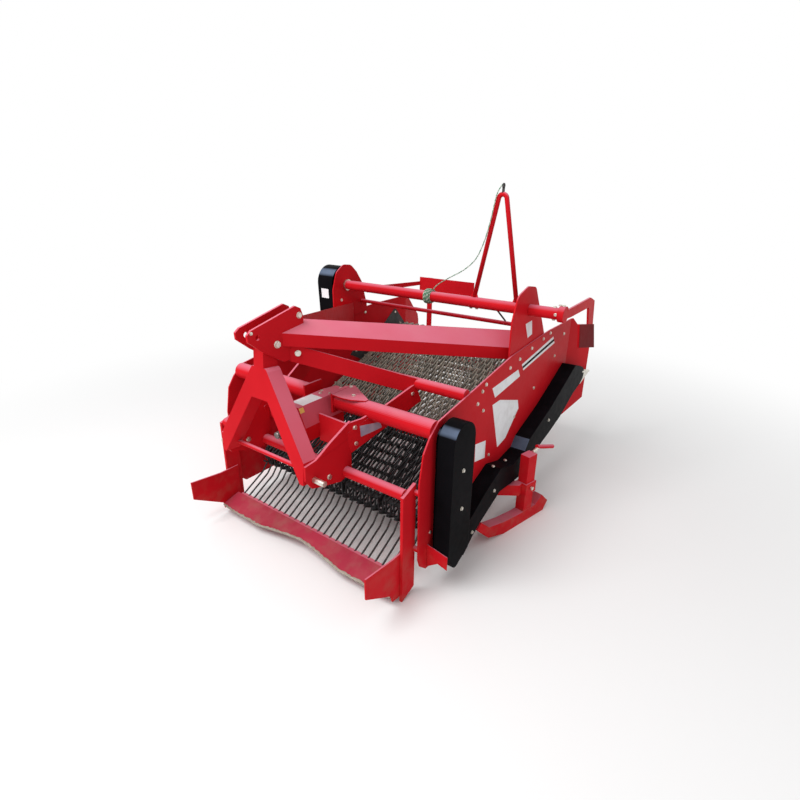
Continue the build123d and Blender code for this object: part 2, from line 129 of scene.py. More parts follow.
def studioFloor():
    half = studio["floorHalf"]
    mesh = bpy.data.meshes.new("floor")
    mesh.from_pydata([(-half, -half, 0), (half, -half, 0), (half, half, 0), (-half, half, 0)], [], [(0, 1, 2, 3)])
    floor = addObject("floor", mesh)
    mat, nodes, links, shader = newMaterial("paleFloor")
    shader.inputs["Base Color"].default_value = (*studio["floorColour"], 1)
    shader.inputs["Roughness"].default_value = studio["floorRough"]
    # far off, the floor fades into the white background
    glow = nodes.new("ShaderNodeEmission")
    glow.inputs["Color"].default_value = (1, 1, 1, 1)
    where = nodes.new("ShaderNodeNewGeometry")
    reach = nodes.new("ShaderNodeVectorMath")
    reach.operation = "LENGTH"
    links.new(where.outputs["Position"], reach.inputs[0])
    fade = nodes.new("ShaderNodeMapRange")
    fade.interpolation_type = "SMOOTHSTEP"
    fade.inputs["From Min"].default_value = studio["fadeFrom"]
    fade.inputs["From Max"].default_value = studio["fadeTo"]
    links.new(reach.outputs["Value"], fade.inputs["Value"])
    rays = nodes.new("ShaderNodeLightPath")
    seen = mathNode(nodes, links, "MAXIMUM", rays.outputs["Is Camera Ray"], rays.outputs["Is Glossy Ray"])
    share = times(nodes, links, seen, fade.outputs["Result"])
    links.new(mixShaders(nodes, links, share, shader.outputs[0], glow.outputs[0]),
              nodes["Material Output"].inputs["Surface"])
    mesh.materials.append(mat)


def softLamp(name, at, aim, size, watts):
    data = bpy.data.lights.new(name, "AREA")
    data.size = size
    data.energy = watts
    turn = (Vector(at) - Vector(aim)).to_track_quat("Z", "Y")
    addObject(name, data).matrix_world = Matrix.Translation(Vector(at)) @ turn.to_matrix().to_4x4()


aimCamera()
brightWorld()
studioFloor()
softLamp("keyLamp", studio["keyAt"], studio["keyAim"], studio["keySize"], studio["keyWatts"])
print("camera, floor and light ready")


# materials: every pattern lies on the piece's own Object coordinates
def objectNoise(nodes, links, scale, detail=4.0, rough=0.55):
    coords = nodes.new("ShaderNodeTexCoord")
    noise = nodes.new("ShaderNodeTexNoise")
    noise.inputs["Scale"].default_value = scale
    noise.inputs["Detail"].default_value = detail
    noise.inputs["Roughness"].default_value = rough
    links.new(coords.outputs["Object"], noise.inputs["Vector"])
    return noise.outputs["Fac"]


# the part of a value between low and high, as to0 to to1
def ramp(nodes, links, value, low, high, to0=0.0, to1=1.0):
    node = nodes.new("ShaderNodeMapRange")
    for socket, number in (("From Min", low), ("From Max", high), ("To Min", to0), ("To Max", to1)):
        node.inputs[socket].default_value = number
    links.new(value, node.inputs["Value"])
    return node.outputs["Result"]


def patches(nodes, links, scale, low, high, to0=0.0, to1=1.0, detail=4.0, rough=0.55):
    return ramp(nodes, links, objectNoise(nodes, links, scale, detail, rough), low, high, to0, to1)


def blendColour(nodes, links, share, one, two):
    node = nodes.new("ShaderNodeMix")
    node.data_type = "RGBA"
    links.new(share, node.inputs["Factor"])
    for socket, value in ((node.inputs["A"], one), (node.inputs["B"], two)):
        if isinstance(value, tuple):
            socket.default_value = (*value, 1)
        else:
            links.new(value, socket)
    return node.outputs["Result"]


def upFacing(nodes, links, low, high):
    where = nodes.new("ShaderNodeNewGeometry")
    split = nodes.new("ShaderNodeSeparateXYZ")
    links.new(where.outputs["Normal"], split.inputs[0])
    return ramp(nodes, links, split.outputs["Z"], low, high)


# 1 near the floor, 0 above high
def nearFloor(nodes, links, low, high):
    coords = nodes.new("ShaderNodeTexCoord")
    split = nodes.new("ShaderNodeSeparateXYZ")
    links.new(coords.outputs["Object"], split.inputs[0])
    return ramp(nodes, links, split.outputs["Z"], low, high, 1.0, 0.0)


# 1 where the surface faces a direction, 0 where it turns away
def facingTo(nodes, links, direction, low, high):
    where = nodes.new("ShaderNodeNewGeometry")
    dot = nodes.new("ShaderNodeVectorMath")
    dot.operation = "DOT_PRODUCT"
    dot.inputs[1].default_value = Vector(direction).normalized()
    links.new(where.outputs["Normal"], dot.inputs[0])
    return ramp(nodes, links, dot.outputs["Value"], low, high)


def bumpFrom(nodes, links, height, strength, distance):
    node = nodes.new("ShaderNodeBump")
    node.inputs["Strength"].default_value = strength
    node.inputs["Distance"].default_value = distance
    links.new(height, node.inputs["Height"])
    return node


# softens the edges' shading, so that they catch the light as pressed steel does
def roundedEdges(nodes, links, shader, radius, bump):
    soft = nodes.new("ShaderNodeBevel")
    soft.samples = 4
    soft.inputs["Radius"].default_value = radius
    links.new(soft.outputs["Normal"], bump.inputs["Normal"])
    links.new(bump.outputs["Normal"], shader.inputs["Normal"])


# the bloom colour, its direction and its share are a painted sky reflection, laid on faces turned up and outwards
paint = {"bright": (0.60, 0.011, 0.018), "deep": (0.50, 0.008, 0.014), "specks": (0.33, 0.010, 0.014),
         "paintedReflection": (0.66, 0.19, 0.27), "paintedReflectionTo": (0.35, 0.0, 0.94), "paintedReflectionShare": 0.85,
         "dust": (0.52, 0.36, 0.31), "soil": (0.25, 0.17, 0.12), "specular": 0.03, "edge": 0.0025}


def redPaint(name="redPaint", bright=paint["bright"], deep=paint["deep"], soil=0.25, gloss=0.30,
             paintedReflection=paint["paintedReflectionShare"]):
    mat, nodes, links, shader = newMaterial(name)
    colour = blendColour(nodes, links, patches(nodes, links, 2.2, 0.35, 0.68), deep, bright)
    fine = objectNoise(nodes, links, 38.0, 6.0, 0.7)
    colour = blendColour(nodes, links, ramp(nodes, links, fine, 0.62, 0.78, 0.0, 0.22), colour, paint["specks"])
    # painted reflection: faces turned to the sky are lightened to a pale pink, a painted reflection of the white sky
    # on the gloss
    sky = times(nodes, links, facingTo(nodes, links, paint["paintedReflectionTo"], 0.42, 0.92), paintedReflection)
    sky = times(nodes, links, sky, patches(nodes, links, 3.1, 0.3, 0.7, 0.8, 1.0, 3.0))
    colour = blendColour(nodes, links, sky, colour, paint["paintedReflection"])
    dusty = times(nodes, links, upFacing(nodes, links, 0.6, 0.98),
                  patches(nodes, links, 9.0, 0.45, 0.75, 0.0, 0.14))
    colour = blendColour(nodes, links, dusty, colour, paint["dust"])
    low = times(nodes, links, nearFloor(nodes, links, 0.0, 0.42),
                patches(nodes, links, 16.0, 0.45, 0.7, 0.0, soil))
    colour = blendColour(nodes, links, low, colour, paint["soil"])
    links.new(colour, shader.inputs["Base Color"])
    links.new(ramp(nodes, links, fine, 0.3, 0.8, gloss, gloss + 0.16), shader.inputs["Roughness"])
    shader.inputs["Specular IOR Level"].default_value = paint["specular"]
    peel = bumpFrom(nodes, links, objectNoise(nodes, links, 260.0, 2.0), 0.08, 0.001)
    roundedEdges(nodes, links, shader, paint["edge"], peel)
    return mat


# sheen is a blue-grey painted highlight, laid on faces turned forward and up
caseBlack = {"base": (0.003, 0.003, 0.0035), "worn": (0.006, 0.0055, 0.007), "paintedSheen": (0.13, 0.17, 0.25),
             "paintedSheenTo": (0.0, -0.72, 0.69), "dust": (0.05, 0.045, 0.06), "specular": 0.01, "edge": 0.004}


def blackPaint(name="blackPaint"):
    mat, nodes, links, shader = newMaterial(name)
    broad = objectNoise(nodes, links, 4.0)
    colour = blendColour(nodes, links, ramp(nodes, links, broad, 0.35, 0.7), caseBlack["base"], caseBlack["worn"])
    # painted highlight: faces turned forward and up are lightened to blue-grey
    paintedSheen = times(nodes, links, facingTo(nodes, links, caseBlack["paintedSheenTo"], 0.955, 0.995),
                  ramp(nodes, links, broad, 0.35, 0.6, 0.55, 0.9))
    colour = blendColour(nodes, links, paintedSheen, colour, caseBlack["paintedSheen"])
    dusty = times(nodes, links, upFacing(nodes, links, 0.3, 0.95),
                  patches(nodes, links, 12.0, 0.45, 0.75, 0.01, 0.08))
    colour = blendColour(nodes, links, dusty, colour, caseBlack["dust"])
    links.new(colour, shader.inputs["Base Color"])
    links.new(patches(nodes, links, 30.0, 0.3, 0.8, 0.28, 0.45, 6.0), shader.inputs["Roughness"])
    shader.inputs["Specular IOR Level"].default_value = caseBlack["specular"]
    peel = bumpFrom(nodes, links, objectNoise(nodes, links, 300.0, 2.0), 0.08, 0.001)
    roundedEdges(nodes, links, shader, caseBlack["edge"], peel)
    return mat


def wornSteel(name, bright, dark, rough=0.38, metal=1.0, scale=30.0):
    mat, nodes, links, shader = newMaterial(name)
    worn = patches(nodes, links, scale, 0.35, 0.7, detail=6.0, rough=0.65)
    links.new(blendColour(nodes, links, worn, bright, dark), shader.inputs["Base Color"])
    links.new(patches(nodes, links, scale * 2.3, 0.3, 0.8, rough, rough + 0.25, 5.0), shader.inputs["Roughness"])
    shader.inputs["Metallic"].default_value = metal
    pits = bumpFrom(nodes, links, objectNoise(nodes, links, scale * 6, 4.0), 0.2, 0.001)
    roundedEdges(nodes, links, shader, 0.0012, pits)
    return mat


# web wires with dried soil on them
def soiledSteel(name, steel, soil, light):
    mat, nodes, links, shader = newMaterial(name)
    patch = patches(nodes, links, 14.0, 0.38, 0.66, detail=7.0, rough=0.7)
    crust = patches(nodes, links, 55.0, 0.52, 0.72, detail=5.0, rough=0.7)
    colour = blendColour(nodes, links, crust, blendColour(nodes, links, patch, steel, soil), light)
    links.new(colour, shader.inputs["Base Color"])
    links.new(ramp(nodes, links, crust, 0.0, 1.0, 0.5, 0.9), shader.inputs["Roughness"])
    bump = bumpFrom(nodes, links, objectNoise(nodes, links, 180.0, 6.0), 0.5, 0.002)
    links.new(bump.outputs["Normal"], shader.inputs["Normal"])
    return mat


# rubber, vinyl and fibre
def dullSkin(name, colour, other, rough=0.55, scale=80.0):
    mat, nodes, links, shader = newMaterial(name)
    share = patches(nodes, links, scale, 0.4, 0.7, detail=5.0)
    links.new(blendColour(nodes, links, share, colour, other), shader.inputs["Base Color"])
    links.new(patches(nodes, links, scale * 0.4, 0.3, 0.7, rough - 0.1, rough + 0.15), shader.inputs["Roughness"])
    bump = bumpFrom(nodes, links, objectNoise(nodes, links, scale * 5, 3.0), 0.2, 0.001)
    links.new(bump.outputs["Normal"], shader.inputs["Normal"])
    return mat


mats = {
    "red": redPaint(),
    # painted shade: a darker copy of the red with no sky reflection, for the sheet on the lever arm's plate
    "darkRed": redPaint("paintedShadeRed", (0.19, 0.003, 0.006), (0.13, 0.002, 0.004), 0.1, 0.5, 0.0),
    "black": blackPaint(),
    "blade": redPaint("bladePaint", (0.42, 0.022, 0.05), (0.33, 0.016, 0.035), 0.3, 0.26, 0.12),
    "bareEdge": wornSteel("bareEdge", (0.42, 0.39, 0.33), (0.26, 0.22, 0.17), 0.45, 0.5, 60.0),
    "zinc": wornSteel("zinc", (0.78, 0.76, 0.70), (0.52, 0.47, 0.38), 0.28),
    "steel": wornSteel("bareSteel", (0.30, 0.29, 0.28), (0.14, 0.12, 0.11), 0.35),
    "darkSteel": wornSteel("darkSteel", (0.055, 0.05, 0.05), (0.02, 0.018, 0.018), 0.4, 0.6),
    "webBlack": wornSteel("webBlack", (0.006, 0.007, 0.008), (0.018, 0.020, 0.023), 0.42, 0.3, 22.0),
    "webSoil": soiledSteel("webSoil", (0.10, 0.092, 0.075), (0.22, 0.185, 0.145), (0.42, 0.38, 0.31)),
    "rubber": dullSkin("rubber", (0.018, 0.018, 0.019), (0.035, 0.033, 0.031), 0.6, 26.0),
    "label": dullSkin("blankLabel", (0.82, 0.82, 0.84), (0.70, 0.69, 0.70), 0.4, 18.0),
    "yellow": dullSkin("yellowMark", (0.80, 0.50, 0.10), (0.70, 0.40, 0.08), 0.45, 30.0),
    "greyPlate": dullSkin("greyPlate", (0.28, 0.26, 0.36), (0.42, 0.38, 0.46), 0.4, 22.0),
    "ropeGreen": dullSkin("ropeGreen", (0.10, 0.26, 0.15), (0.20, 0.38, 0.24), 0.8, 300.0),
    "ropeWhite": dullSkin("ropeWhite", (0.62, 0.64, 0.58), (0.44, 0.46, 0.40), 0.8, 300.0),
}
print("materials ready:", len(mats))

# what the carried-over nodes wear; the rest is red
nodeLooks = dict.fromkeys(frame["nodes"], "red")
nodeLooks.update({nodeName: "black" for nodeName in nodeLooks if nodeName.startswith("chain_case")})
nodeLooks.update(front_web_rollers="darkSteel", rear_web_rollers="darkSteel", digging_blade="blade",
                 lower_hitch_pins="zinc", front_web="webBlack", rear_web="webSoil", sieve_rods="darkSteel",
                 pto_shaft="steel")
for nodeName, look in nodeLooks.items():
    nodeMaterials = frame["nodes"][nodeName].data.materials
    nodeMaterials.clear()
    nodeMaterials.append(mats[look])


# making pieces
def addPiece(name, mesh, look=None):
    piece = addObject(name, mesh)
    if look:
        mesh.materials.clear()
        mesh.materials.append(mats[look])
    return piece


def meshOf(name, verts, faces, look, smooth=False):
    mesh = bpy.data.meshes.new(name)
    mesh.from_pydata([tuple(v) for v in verts], [], faces)
    work = bmesh.new()
    work.from_mesh(mesh)
    bmesh.ops.remove_doubles(work, verts=work.verts, dist=1e-6)
    bmesh.ops.recalc_face_normals(work, faces=work.faces)
    work.to_mesh(mesh)
    work.free()
    for face in mesh.polygons:
        face.use_smooth = smooth
    return addPiece(name, mesh, look)


def settle(piece, body, slotName, *replaced):
    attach(piece, body)
    if replaced:
        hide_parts(*replaced)


def joinParts(parts):
    verts, faces = [], []
    for partVerts, partFaces in parts:
        base = len(verts)
        verts += partVerts
        faces += [tuple(base + i for i in face) for face in partFaces]
    return verts, faces


# one piece of closed parts, riding on a body
def fitPiece(name, parts, look, body, slotName, *replaced):
    settle(meshOf(name, *joinParts(parts), look), body, slotName, *replaced)


# closed plate between two like outlines
def prism(one, two):
    count = len(one)
    faces = [tuple(range(count)), tuple(range(2 * count - 1, count - 1, -1))]
    faces += [(i, (i + 1) % count, count + (i + 1) % count, count + i) for i in range(count)]
    return one + two, faces


# plate with an outline in Y and Z, from x0 to x1
def slab(outline, x0, x1):
    return prism([place(x0, y, z) for y, z in outline], [place(x1, y, z) for y, z in outline])


# plate with an outline in X and Z, from y0 to y1
def crossSlab(outline, y0, y1):
    return prism([place(x, y0, z) for x, z in outline], [place(x, y1, z) for x, z in outline])


# plate over corners in space, standing off in a direction
def thinPlate(corners, thick, direction):
    away = Vector(direction).normalized() * thick / 1000
    return prism([place(*c) for c in corners], [place(*c) + away for c in corners])


# round bar through points in metres, capped at both ends
def roundBar(points, radius, sides=10):
    verts, faces = [], []
    last = len(points) - 1
    side = None
    for i, here in enumerate(points):
        along = (points[min(i + 1, last)] - points[max(i - 1, 0)]).normalized()
        if side is None:
            side = along.orthogonal().normalized()
        side = (side - along * side.dot(along)).normalized()
        up = along.cross(side)
        verts += [here + (side * cos(tau * k / sides) + up * sin(tau * k / sides)) * radius for k in range(sides)]
    for one in range(0, last * sides, sides):
        two = one + sides
        faces += [(one + k, one + (k + 1) % sides, two + (k + 1) % sides, two + k) for k in range(sides)]
    faces.append(tuple(range(sides - 1, -1, -1)))
    faces.append(tuple(range(last * sides, (last + 1) * sides)))
    return verts, faces


# straight round bar between two places of the drawing, its radius in mm
def pin(one, two, radius, sides):
    return roundBar([place(*one), place(*two)], radius / 1000, sides)


def plainMesh(source):
    bpy.context.view_layer.update()
    return bpy.data.meshes.new_from_object(source.evaluated_get(bpy.context.evaluated_depsgraph_get()))


# an empty Geometry Nodes tree with named number inputs
def nodeTree(name, sizes):
    tree = bpy.data.node_groups.new(name, "GeometryNodeTree")
    tree.interface.new_socket("Geometry", in_out="INPUT", socket_type="NodeSocketGeometry")
    tree.interface.new_socket("Geometry", in_out="OUTPUT", socket_type="NodeSocketGeometry")
    for size, value in sizes.items():
        kind = "NodeSocketInt" if isinstance(value, int) else "NodeSocketFloat"
        tree.interface.new_socket(size, in_out="INPUT", socket_type=kind)
    return tree, tree.nodes.new("NodeGroupInput"), tree.nodes.new("NodeGroupOutput")


# applies the tree to a source object and gives the outcome as a plain piece
def runTree(name, source, tree, sizes):
    modifier = source.modifiers.new(name, "NODES")
    modifier.node_group = tree
    for item in tree.interface.items_tree:
        if item.item_type == "SOCKET" and item.in_out == "INPUT" and item.name in sizes:
            modifier[item.identifier] = sizes[item.name]
    mesh = plainMesh(source)
    mesh.name = name
    source.modifiers.remove(modifier)
    bpy.data.objects.remove(source)
    return addPiece(name, mesh)


def finishTree(tree, geometry, outNode, look):
    realize = tree.nodes.new("GeometryNodeRealizeInstances")
    setMat = tree.nodes.new("GeometryNodeSetMaterial")
    setMat.inputs["Material"].default_value = mats[look]
    tree.links.new(geometry, realize.inputs[0])
    tree.links.new(realize.outputs[0], setMat.inputs["Geometry"])
    tree.links.new(setMat.outputs[0], outNode.inputs[0])


def vectorOf(nodes, links, **values):
    node = nodes.new("ShaderNodeCombineXYZ")
    for axis, value in values.items():
        links.new(value, node.inputs[axis])
    return node.outputs[0]


def pointValue(nodes, name, kind="FLOAT_VECTOR"):
    node = nodes.new("GeometryNodeInputNamedAttribute")
    node.data_type = kind
    node.inputs["Name"].default_value = name
    return node.outputs["Attribute"]


# round wire along lines, with its corners bent
def sweepWire(tree, lines, radius, bendRadius, bendSteps, sides):
    nodes, links = tree.nodes, tree.links
    toCurve = nodes.new("GeometryNodeMeshToCurve")
    bend = nodes.new("GeometryNodeFilletCurve")
    bend.mode = "POLY"
    bend.inputs["Count"].default_value = bendSteps
    section = nodes.new("GeometryNodeCurvePrimitiveCircle")
    section.inputs["Resolution"].default_value = sides
    sweep = nodes.new("GeometryNodeCurveToMesh")
    sweep.inputs["Fill Caps"].default_value = True
    smooth = nodes.new("GeometryNodeSetShadeSmooth")
    links.new(lines, toCurve.inputs["Mesh"])
    links.new(toCurve.outputs[0], bend.inputs["Curve"])
    links.new(bendRadius, bend.inputs["Radius"])
    links.new(radius, section.inputs["Radius"])
    links.new(bend.outputs[0], sweep.inputs["Curve"])
    links.new(section.outputs["Curve"], sweep.inputs["Profile Curve"])
    links.new(sweep.outputs[0], smooth.inputs["Geometry"])
    return smooth.outputs[0]


# webs: rows of deep zig-zag wires hooked into each other like chain link, between two belts
webSizes = {"half": 640.0, "radius": 80.0, "wireRadius": 6.1, "wirePitch": 52.5, "swing": 41.0, "lift": 6.1,
            "narrow": 0.5, "broad": 5.4, "bendShare": 1.1, "bendSteps": 2, "wireSides": 6, "edgeRoom": 16.0,
            "beltWide": 34.0, "beltThick": 6.0, "beltRise": 2.0, "beltStep": 12.0}
webRows = {
    "front_web": {"ends": ((330.0, 197.0), (760.0, 352.0)), "rowPitch": 74.0, "wires": "webBlack",
                  "belts": "rubber", "slot": "web_black"},
    "rear_web": {"ends": ((932.0, 413.0), (1735.0, 712.0)), "rowPitch": 60.0, "wires": "webSoil",
                 "belts": "webSoil", "slot": "web_soiled"},
}


# points and tangents round a belt over two equal rollers
def loopPath(ends, radius, step):
    (ya, za), (yb, zb) = ends
    run = hypot(yb - ya, zb - za)
    base = atan2(zb - za, yb - ya)
    around = 2 * run + tau * radius
    count = 2 * round(around / step / 2)        # even, so that neighbours stay staggered all the way round
    points = []
    for i in range(count):
        s = i * around / count
        if s < run:
            angle, centre, extra = base + pi / 2, (ya, za), s
        elif s < run + pi * radius:
            angle, centre, extra = base + pi / 2 - (s - run) / radius, (yb, zb), 0.0
        elif s < 2 * run + pi * radius:
            angle, centre, extra = base - pi / 2, (yb, zb), s - run - pi * radius
        else:
            angle, centre, extra = base - pi / 2 - (s - 2 * run - pi * radius) / radius, (ya, za), 0.0
        alongY, alongZ = sin(angle), -cos(angle)
        points.append((centre[0] + radius * cos(angle) + extra * alongY,
                       centre[1] + radius * sin(angle) + extra * alongZ, alongY, alongZ))
    return points


def wireTree(look, sizes):
    tree, start, out = nodeTree("hookedWires", sizes)
    nodes, links = tree.nodes, tree.links
    line = nodes.new("GeometryNodeMeshLine")
    line.mode = "OFFSET"
    quarterPitch = times(nodes, links, start.outputs["Wire Pitch"], 0.25)
    leftEnd = times(nodes, links, start.outputs["Half Width"], -1.0)
    links.new(start.outputs["Bends"], line.inputs["Count"])
    links.new(vectorOf(nodes, links, X=quarterPitch), line.inputs["Offset"])
    links.new(vectorOf(nodes, links, X=leftEnd), line.inputs["Start Location"])
    # four points a wave: a narrow bend above, a broad one below
    index = nodes.new("GeometryNodeInputIndex")
    quarter = mathNode(nodes, links, "MODULO", index.outputs[0], 4.0)
    below = mathNode(nodes, links, "GREATER_THAN", quarter, 1.5)
    odd = mathNode(nodes, links, "MODULO", index.outputs[0], 2.0)
    side = mathNode(nodes, links, "MULTIPLY_ADD", odd, 2.0, -1.0)
    fall = mathNode(nodes, links, "MULTIPLY_ADD", below, -2.0, 1.0)
    spread = nodes.new("ShaderNodeMapRange")
    links.new(below, spread.inputs["Value"])
    links.new(start.outputs["Narrow"], spread.inputs["To Min"])
    links.new(start.outputs["Broad"], spread.inputs["To Max"])
    move = vectorOf(nodes, links, X=times(nodes, links, side, spread.outputs["Result"]),
                    Y=times(nodes, links, fall, start.outputs["Swing"]),
                    Z=times(nodes, links, fall, start.outputs["Lift"]))
    shift = nodes.new("GeometryNodeSetPosition")
    links.new(line.outputs[0], shift.inputs["Geometry"])
    links.new(move, shift.inputs["Offset"])
    wire = sweepWire(tree, shift.outputs[0], start.outputs["Wire Radius"], start.outputs["Bend Radius"],
                     webSizes["bendSteps"], webSizes["wireSides"])
    # every wire lies along the belt: its bends swing in the belt's plane
    turn = nodes.new("FunctionNodeAlignRotationToVector")
    turn.axis = "Y"
    turn.pivot_axis = "X"
    links.new(pointValue(nodes, "along"), turn.inputs["Vector"])
    copies = nodes.new("GeometryNodeInstanceOnPoints")
    links.new(start.outputs["Geometry"], copies.inputs["Points"])
    links.new(wire, copies.inputs["Instance"])
    links.new(turn.outputs[0], copies.inputs["Rotation"])
    finishTree(tree, copies.outputs[0], out, look)
    return tree


# both belts as closed bands on the rollers, below the wires
def beltParts(ends):
    outer = webSizes["radius"] - webSizes["lift"] - 2 * webSizes["wireRadius"] + webSizes["beltRise"]
    deep = webSizes["beltThick"]
    ring = loopPath(ends, outer, webSizes["beltStep"])
    parts = []
    for side in (-1, 1):
        x1 = side * webSizes["half"]
        x0 = x1 - side * webSizes["beltWide"]
        verts, faces = [], []
        for y, z, alongY, alongZ in ring:
            inY, inZ = y + alongZ * deep, z - alongY * deep        # towards the inside of the loop
            verts += [place(x0, y, z), place(x1, y, z), place(x1, inY, inZ), place(x0, inY, inZ)]
        for i in range(len(ring)):
            one, two = 4 * i, 4 * ((i + 1) % len(ring))
            faces += [(one + k, one + (k + 1) % 4, two + (k + 1) % 4, two + k) for k in range(4)]
        parts.append((verts, faces))
    return parts


def makeWeb(nodeName, web):
    wireAt = webSizes["radius"] - webSizes["wireRadius"] - webSizes["lift"]
    path = loopPath(web["ends"], wireAt, web["rowPitch"])
    pitch = webSizes["wirePitch"]
    bends = int(2 * (webSizes["half"] - webSizes["edgeRoom"]) / (pitch / 4))
    mesh = bpy.data.meshes.new("wirePoints")
    # every second row stands half a wave to the side
    shifts = [(i % 2) * pitch / 2 - pitch / 4 for i in range(len(path))]
    mesh.from_pydata([tuple(place(x, *at[:2])) for x, at in zip(shifts, path)], [], [])
    along = mesh.attributes.new("along", "FLOAT_VECTOR", "POINT")
    for row, at in zip(along.data, path):
        row.vector = (0, *at[2:])
    sizes = {"Wire Radius": webSizes["wireRadius"], "Wire Pitch": pitch, "Swing": webSizes["swing"],
             "Lift": webSizes["lift"], "Narrow": webSizes["narrow"], "Broad": webSizes["broad"],
             "Half Width": bends * pitch / 8, "Bend Radius": webSizes["wireRadius"] * webSizes["bendShare"]}
    sizes = {size: value / 1000 for size, value in sizes.items()}
    sizes["Bends"] = bends + 1
    wires = runTree(nodeName + "_wires", addPiece("wirePoints", mesh), wireTree(web["wires"], sizes), sizes)
    settle(wires, "machine", web["slot"], nodeName)
    fitPiece(nodeName + "_belts", beltParts(web["ends"]), web["belts"], "machine", web["slot"], nodeName)
    print(nodeName, "made with", len(path), "wires,", len(wires.data.polygons), "faces")


for nodeName, web in webRows.items():
    makeWeb(nodeName, web)

rollerSizes = {"shaft": 17.5, "shaftHalf": 681.7, "discs": (-560, -280, 0, 280, 560), "discThick": 14.0,
               "teeth": 9, "tip": 48.0, "root": 38.0}


# shafts with toothed discs that carry the webs
def makeRollers():
    half, thick = rollerSizes["shaftHalf"], rollerSizes["discThick"] / 2
    steps = rollerSizes["teeth"] * 4
    for webName, web in webRows.items():
        parts = []
        for y, z in web["ends"]:
            parts.append(pin((-half, y, z), (half, y, z), rollerSizes["shaft"], 24))
            outline = []
            for k in range(steps):
                radius = rollerSizes["tip"] if k % 4 in (0, 1) else rollerSizes["root"]
                outline.append((y + radius * cos(tau * k / steps), z + radius * sin(tau * k / steps)))
            parts += [slab(outline, x - thick, x + thick) for x in rollerSizes["discs"]]
        fitPiece(webName + "_rollers_discs", parts, "darkSteel", "machine", "bare_steel", webName + "_rollers")


makeRollers()

# sieve comb: round bent rods on a cross bar
combSizes = {"rods": 27, "pitch": 45.0, "radius": 5.2, "rise": 29.0, "long": 185.0, "tip": 60.0, "tipRise": 50.0,
             "rootY": 38.0, "rootZ": 35.0, "bendRadius": 30.0, "bendSteps": 4, "rodSides": 10, "barHalf": 599.0,
             "bar": [(30.5, 24), (52, 24), (52, 42), (30.5, 42)]}


def combTree(sizes):
    tree, start, out = nodeTree("sieveComb", sizes)
    rods = sweepWire(tree, start.outputs["Geometry"], start.outputs["Rod Radius"], start.outputs["Bend Radius"],
                     combSizes["bendSteps"], combSizes["rodSides"])
    finishTree(tree, rods, out, "darkSteel")
    return tree


def makeComb():
    rise, tip = radians(combSizes["rise"]), radians(combSizes["tipRise"])
    y0, z0 = combSizes["rootY"], combSizes["rootZ"]
    y1, z1 = y0 + combSizes["long"] * cos(rise), z0 + combSizes["long"] * sin(rise)
    y2, z2 = y1 + combSizes["tip"] * cos(tip), z1 + combSizes["tip"] * sin(tip)
    verts, edges = [], []
    for i in range(combSizes["rods"]):
        x = (i - (combSizes["rods"] - 1) / 2) * combSizes["pitch"]
        base = len(verts)
        verts += [tuple(place(x, y, z)) for y, z in ((y0, z0), (y1, z1), (y2, z2))]
        edges += [(base, base + 1), (base + 1, base + 2)]
    mesh = bpy.data.meshes.new("combLines")
    mesh.from_pydata(verts, edges, [])
    sizes = {"Rod Radius": combSizes["radius"] / 1000, "Bend Radius": combSizes["bendRadius"] / 1000}
    comb = runTree("sieve_comb", addPiece("combLines", mesh), combTree(sizes), sizes)
    settle(comb, "machine", "bare_steel", "sieve_rods")
    bar = slab(combSizes["bar"], -combSizes["barHalf"], combSizes["barHalf"])
    fitPiece("comb_bar", [bar], "red", "machine", "bare_steel", "sieve_rods")


makeComb()

# bolts: hexagon heads on washers; head and washer as shares of the head's half width
boltSizes = {"Head Height": 0.62, "Washer Radius": 1.15, "Washer Height": 0.16}
frameLeft, frameRight = (0.9675, -0.2527, 0), (-0.9675, -0.2527, 0)        # ways the leaning frame plates face
braceLeft, braceRight = (0.816, -0.578, 0), (-0.816, -0.578, 0)
axisTurns = {"X": (1, 0, 0), "-X": (-1, 0, 0), "-Y": (0, -1, 0), "Z": (0, 0, 1), "-Z": (0, 0, -1)}
